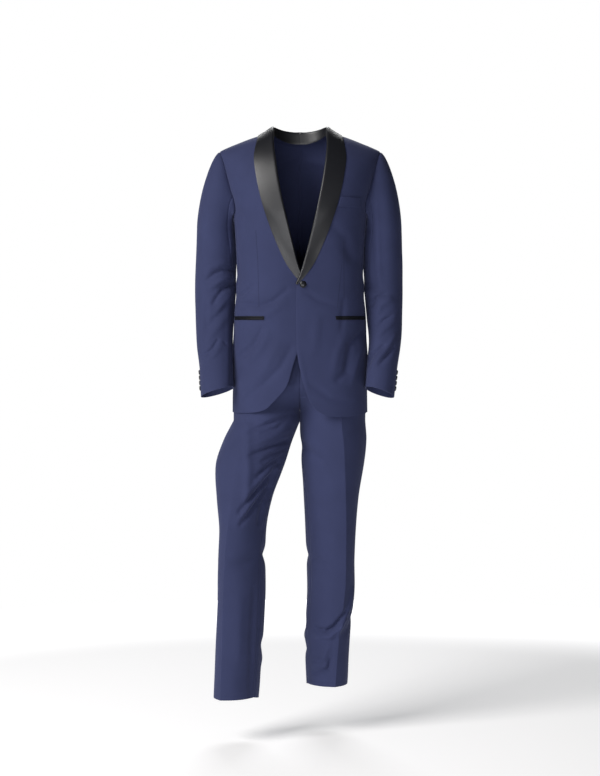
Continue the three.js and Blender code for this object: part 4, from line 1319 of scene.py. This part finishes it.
def fly_point(z, turn):
    point = leg_point("left", turn, z)
    inwards = normal_of(lambda row, column: leg_point("left", column, row), z, turn, 0.5)
    return point - inwards * (TROUSER_CLOTH + FLY_CLEAR)


rows = evenly(FLY_BOTTOM, WAIST_SEAM - 1, 24)
sew_panel("trouser_fly", rows, evenly(*FLY_COLUMNS, 10), fly_point, 1, thick=TROUSER_CLOTH)

# %% [markdown]
# ## Buttons
# The front button is a dome covered in satin. Each cuff has four small resin buttons with a dished face and
# four holes. A button is a profile that is spun round once.

# %% Button profiles
def spun(profile, segments):
    bm = bmesh.new()
    verts = [bm.verts.new((radius, 0, height)) for radius, height in profile]
    for a, b in zip(verts, verts[1:]):
        bm.edges.new((a, b))
    bmesh.ops.spin(
        bm, geom=bm.verts[:] + bm.edges[:], cent=(0, 0, 0), axis=(0, 0, 1), angle=2 * pi, steps=segments,
        use_merge=True,
    )
    bmesh.ops.remove_doubles(bm, verts=bm.verts, dist=0.00001)
    bmesh.ops.recalc_face_normals(bm, faces=bm.faces)
    layer = bm.loops.layers.uv.new("cloth")
    for face in bm.faces:
        for loop in face.loops:
            loop[layer].uv = loop.vert.co.xy
    return bm


def set_button(bm, name, node, material, place, outwards):
    turn = Vector((0, 0, 1)).rotation_difference(outwards).to_matrix().to_4x4()
    turn.translation = place
    bmesh.ops.transform(bm, matrix=turn, verts=bm.verts)
    piece, _ = finish_piece(name, bm, node, [material], 0)
    return piece


# %% Front button
BUTTON_RADIUS = 0.0088
BUTTON_EDGE = 0.0016
BUTTON_DOME = 0.0031
dome = [(0, 0), (BUTTON_RADIUS * 0.86, 0), (BUTTON_RADIUS * 0.97, 0.0007), (BUTTON_RADIUS, BUTTON_EDGE)]
dome += [(BUTTON_RADIUS * cos(a), BUTTON_EDGE + BUTTON_DOME * sin(a)) for a in evenly(0.15, pi / 2, 9)]
dome[-1] = (0, dome[-1][1])
low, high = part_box("front_button")
place = Vector(((low.x + high.x) / 2, high.y, (low.z + high.z) / 2))
set_button(
    spun(dome, 40), "front_button_covered", "front_button", BUTTON_SATIN, place,
    Vector((0, -1, 0)),
)

# %% Cuff buttons
CUFF_RADIUS = 0.0062
CUFF_THICK = 0.0034
CUFF_BUTTON = {"pitch": 12.8, "lowest": 22, "ahead": 13, "count": 4, "gap": 0.35}
HOLE_RING = (0.0012, 0.002)


def from_diagonal(face):
    middle = face.calc_center_median()
    return abs(abs(middle.x) - abs(middle.y))


def cuff_button():
    rim = [(0, 0), (CUFF_RADIUS * 0.88, 0), (CUFF_RADIUS, 0.0012), (CUFF_RADIUS, 0.0022)]
    face = [(CUFF_RADIUS * 0.93, CUFF_THICK - 0.0003), (CUFF_RADIUS * 0.82, CUFF_THICK)]
    dish = [(CUFF_RADIUS * 0.68, CUFF_THICK - 0.0004), (CUFF_RADIUS * 0.55, CUFF_THICK - 0.0009)]
    middle = [(0.0024, CUFF_THICK - 0.001), (0.001, CUFF_THICK - 0.001), (0, CUFF_THICK - 0.001)]
    bm = spun([*rim, *face, *dish, *middle], 24)
    inner, outer = HOLE_RING
    ring = [f for f in bm.faces if inner < f.calc_center_median().xy.length < outer and f.normal.z > 0.9]
    corners = sorted(ring, key=from_diagonal)[:4]
    bmesh.ops.inset_individual(bm, faces=corners, thickness=0.00012, depth=0)
    bmesh.ops.inset_individual(bm, faces=corners, thickness=0.00005, depth=-0.0009)
    return bm


cuff_buttons = []
for side, sign in SIDES:
    seam = SLEEVE_SEAMS.at(CUFF_HEIGHT, "back")
    for i in range(CUFF_BUTTON["count"]):
        z = CUFF_HEIGHT + CUFF_BUTTON["lowest"] + CUFF_BUTTON["pitch"] * i
        turn = seam + CUFF_BUTTON["ahead"]
        place = sleeve_section(side, turn, z)
        around = sleeve_section(side, turn + 2, z) - place
        upwards = sleeve_section(side, turn, z + 5) - place
        outwards = upwards.cross(around).normalized()
        place += outwards * (JACKET_CLOTH / 2 + CUFF_BUTTON["gap"])
        outwards.x *= sign
        node = f"cuff_button_{side}_{i + 1}"
        button = set_button(
            cuff_button(), node + "_resin", node, BLACK_RESIN, to_frame(place, sign), outwards
        )
        cuff_buttons.append(button)
print("cuff buttons:", len(cuff_buttons))

# %% [markdown]
# ## Cloth sizes
# Each panel is kept with the rectangle that its cut fits in and its flat area, and here the panels are
# counted.

for (side, _), (piece, flat, area) in zip(SIDES, sheets):
    area = min(area, flat[0] * flat[1])
for piece, flat, area in sheets[len(SIDES):]:
    min(area, flat[0] * flat[1])
for piece, flat, area in collars:
    area = min(area, flat[0] * flat[1])
print("sheets:", len(sheets) + len(collars))

# %% [markdown]
# ## Studio
# A round sheet of pale paper lies on the floor and glows a little towards its rim, where it runs into the
# white background. One large soft light stands to the left in front. A low, wide one puts the shine on the
# lower lapels, and a third reaches the back. The right sleeve and the leg's far side fall into shade.

# %% Floor
FLOOR_RADIUS = 2.4
paper = new_material("pale paper", (0.86, 0.86, 0.87), Roughness=0.9, Emission_Color=(1, 1, 1, 1))
place = add_node(paper, "TexCoord").outputs["Object"]
level_place = add_node(paper, "VectorMath", {0: place, 1: (1, 1, 0)}, operation="MULTIPLY").outputs[0]
distance = add_node(paper, "VectorMath", {0: level_place}, operation="LENGTH").outputs["Value"]
glow = add_node(
    paper, "MapRange", {"Value": distance}, interpolation_type="SMOOTHSTEP",
    From_Min=1.3, From_Max=2.3, To_Min=0.3, To_Max=1,
)
set_shader(paper, Emission_Strength=glow.outputs[0])
bm = bmesh.new()
bmesh.ops.create_circle(bm, cap_ends=True, segments=96, radius=FLOOR_RADIUS)
bmesh.ops.translate(bm, vec=(0, 0, FLOOR_HEIGHT), verts=bm.verts)
floor_mesh = bpy.data.meshes.new("floor")
bm.to_mesh(floor_mesh)
bm.free()
floor_mesh.materials.append(paper)
floor = bpy.data.objects.new("floor", floor_mesh)
scene.collection.objects.link(floor)

# %% Lights
def soft_light(name, place, target, size, watts, colour):
    data = bpy.data.lights.new(name, "AREA")
    data.shape = "RECTANGLE"
    data.size, data.size_y = size
    data.energy = watts
    data.color = colour
    light = bpy.data.objects.new(name, data)
    light.location = place
    light.rotation_euler = (Vector(target) - Vector(place)).to_track_quat("-Z", "Y").to_euler()
    scene.collection.objects.link(light)
    return light


soft_light("key", (-3.1, -2.8, 1.8), (0, 0, -0.55), (2.4, 2.8), 262, (1, 0.98, 0.96))
soft_light("low front", (-0.6, -5.1, -1.25), (0, 0, -0.35), (3.4, 0.4), 112, (0.98, 0.98, 1))
soft_light("back", (0, 3.4, 2.2), (0, 0, -0.5), (2, 1.2), 70, (0.98, 0.99, 1))

# %% White surroundings that only the camera sees
world = bpy.data.worlds.new("studio air")
world.use_nodes = True
tree = world.node_tree
air = tree.nodes["Background"]
air.inputs["Color"].default_value = (0.95, 0.97, 1, 1)
air.inputs["Strength"].default_value = 0.05
white = tree.nodes.new("ShaderNodeBackground")
white.inputs["Color"].default_value = (1, 1, 1, 1)
ray = tree.nodes.new("ShaderNodeLightPath")
seen = tree.nodes.new("ShaderNodeMixShader")
tree.links.new(ray.outputs["Is Camera Ray"], seen.inputs[0])
tree.links.new(air.outputs[0], seen.inputs[1])
tree.links.new(white.outputs[0], seen.inputs[2])
tree.links.new(seen.outputs[0], tree.nodes["World Output"].inputs["Surface"])
scene.world = world
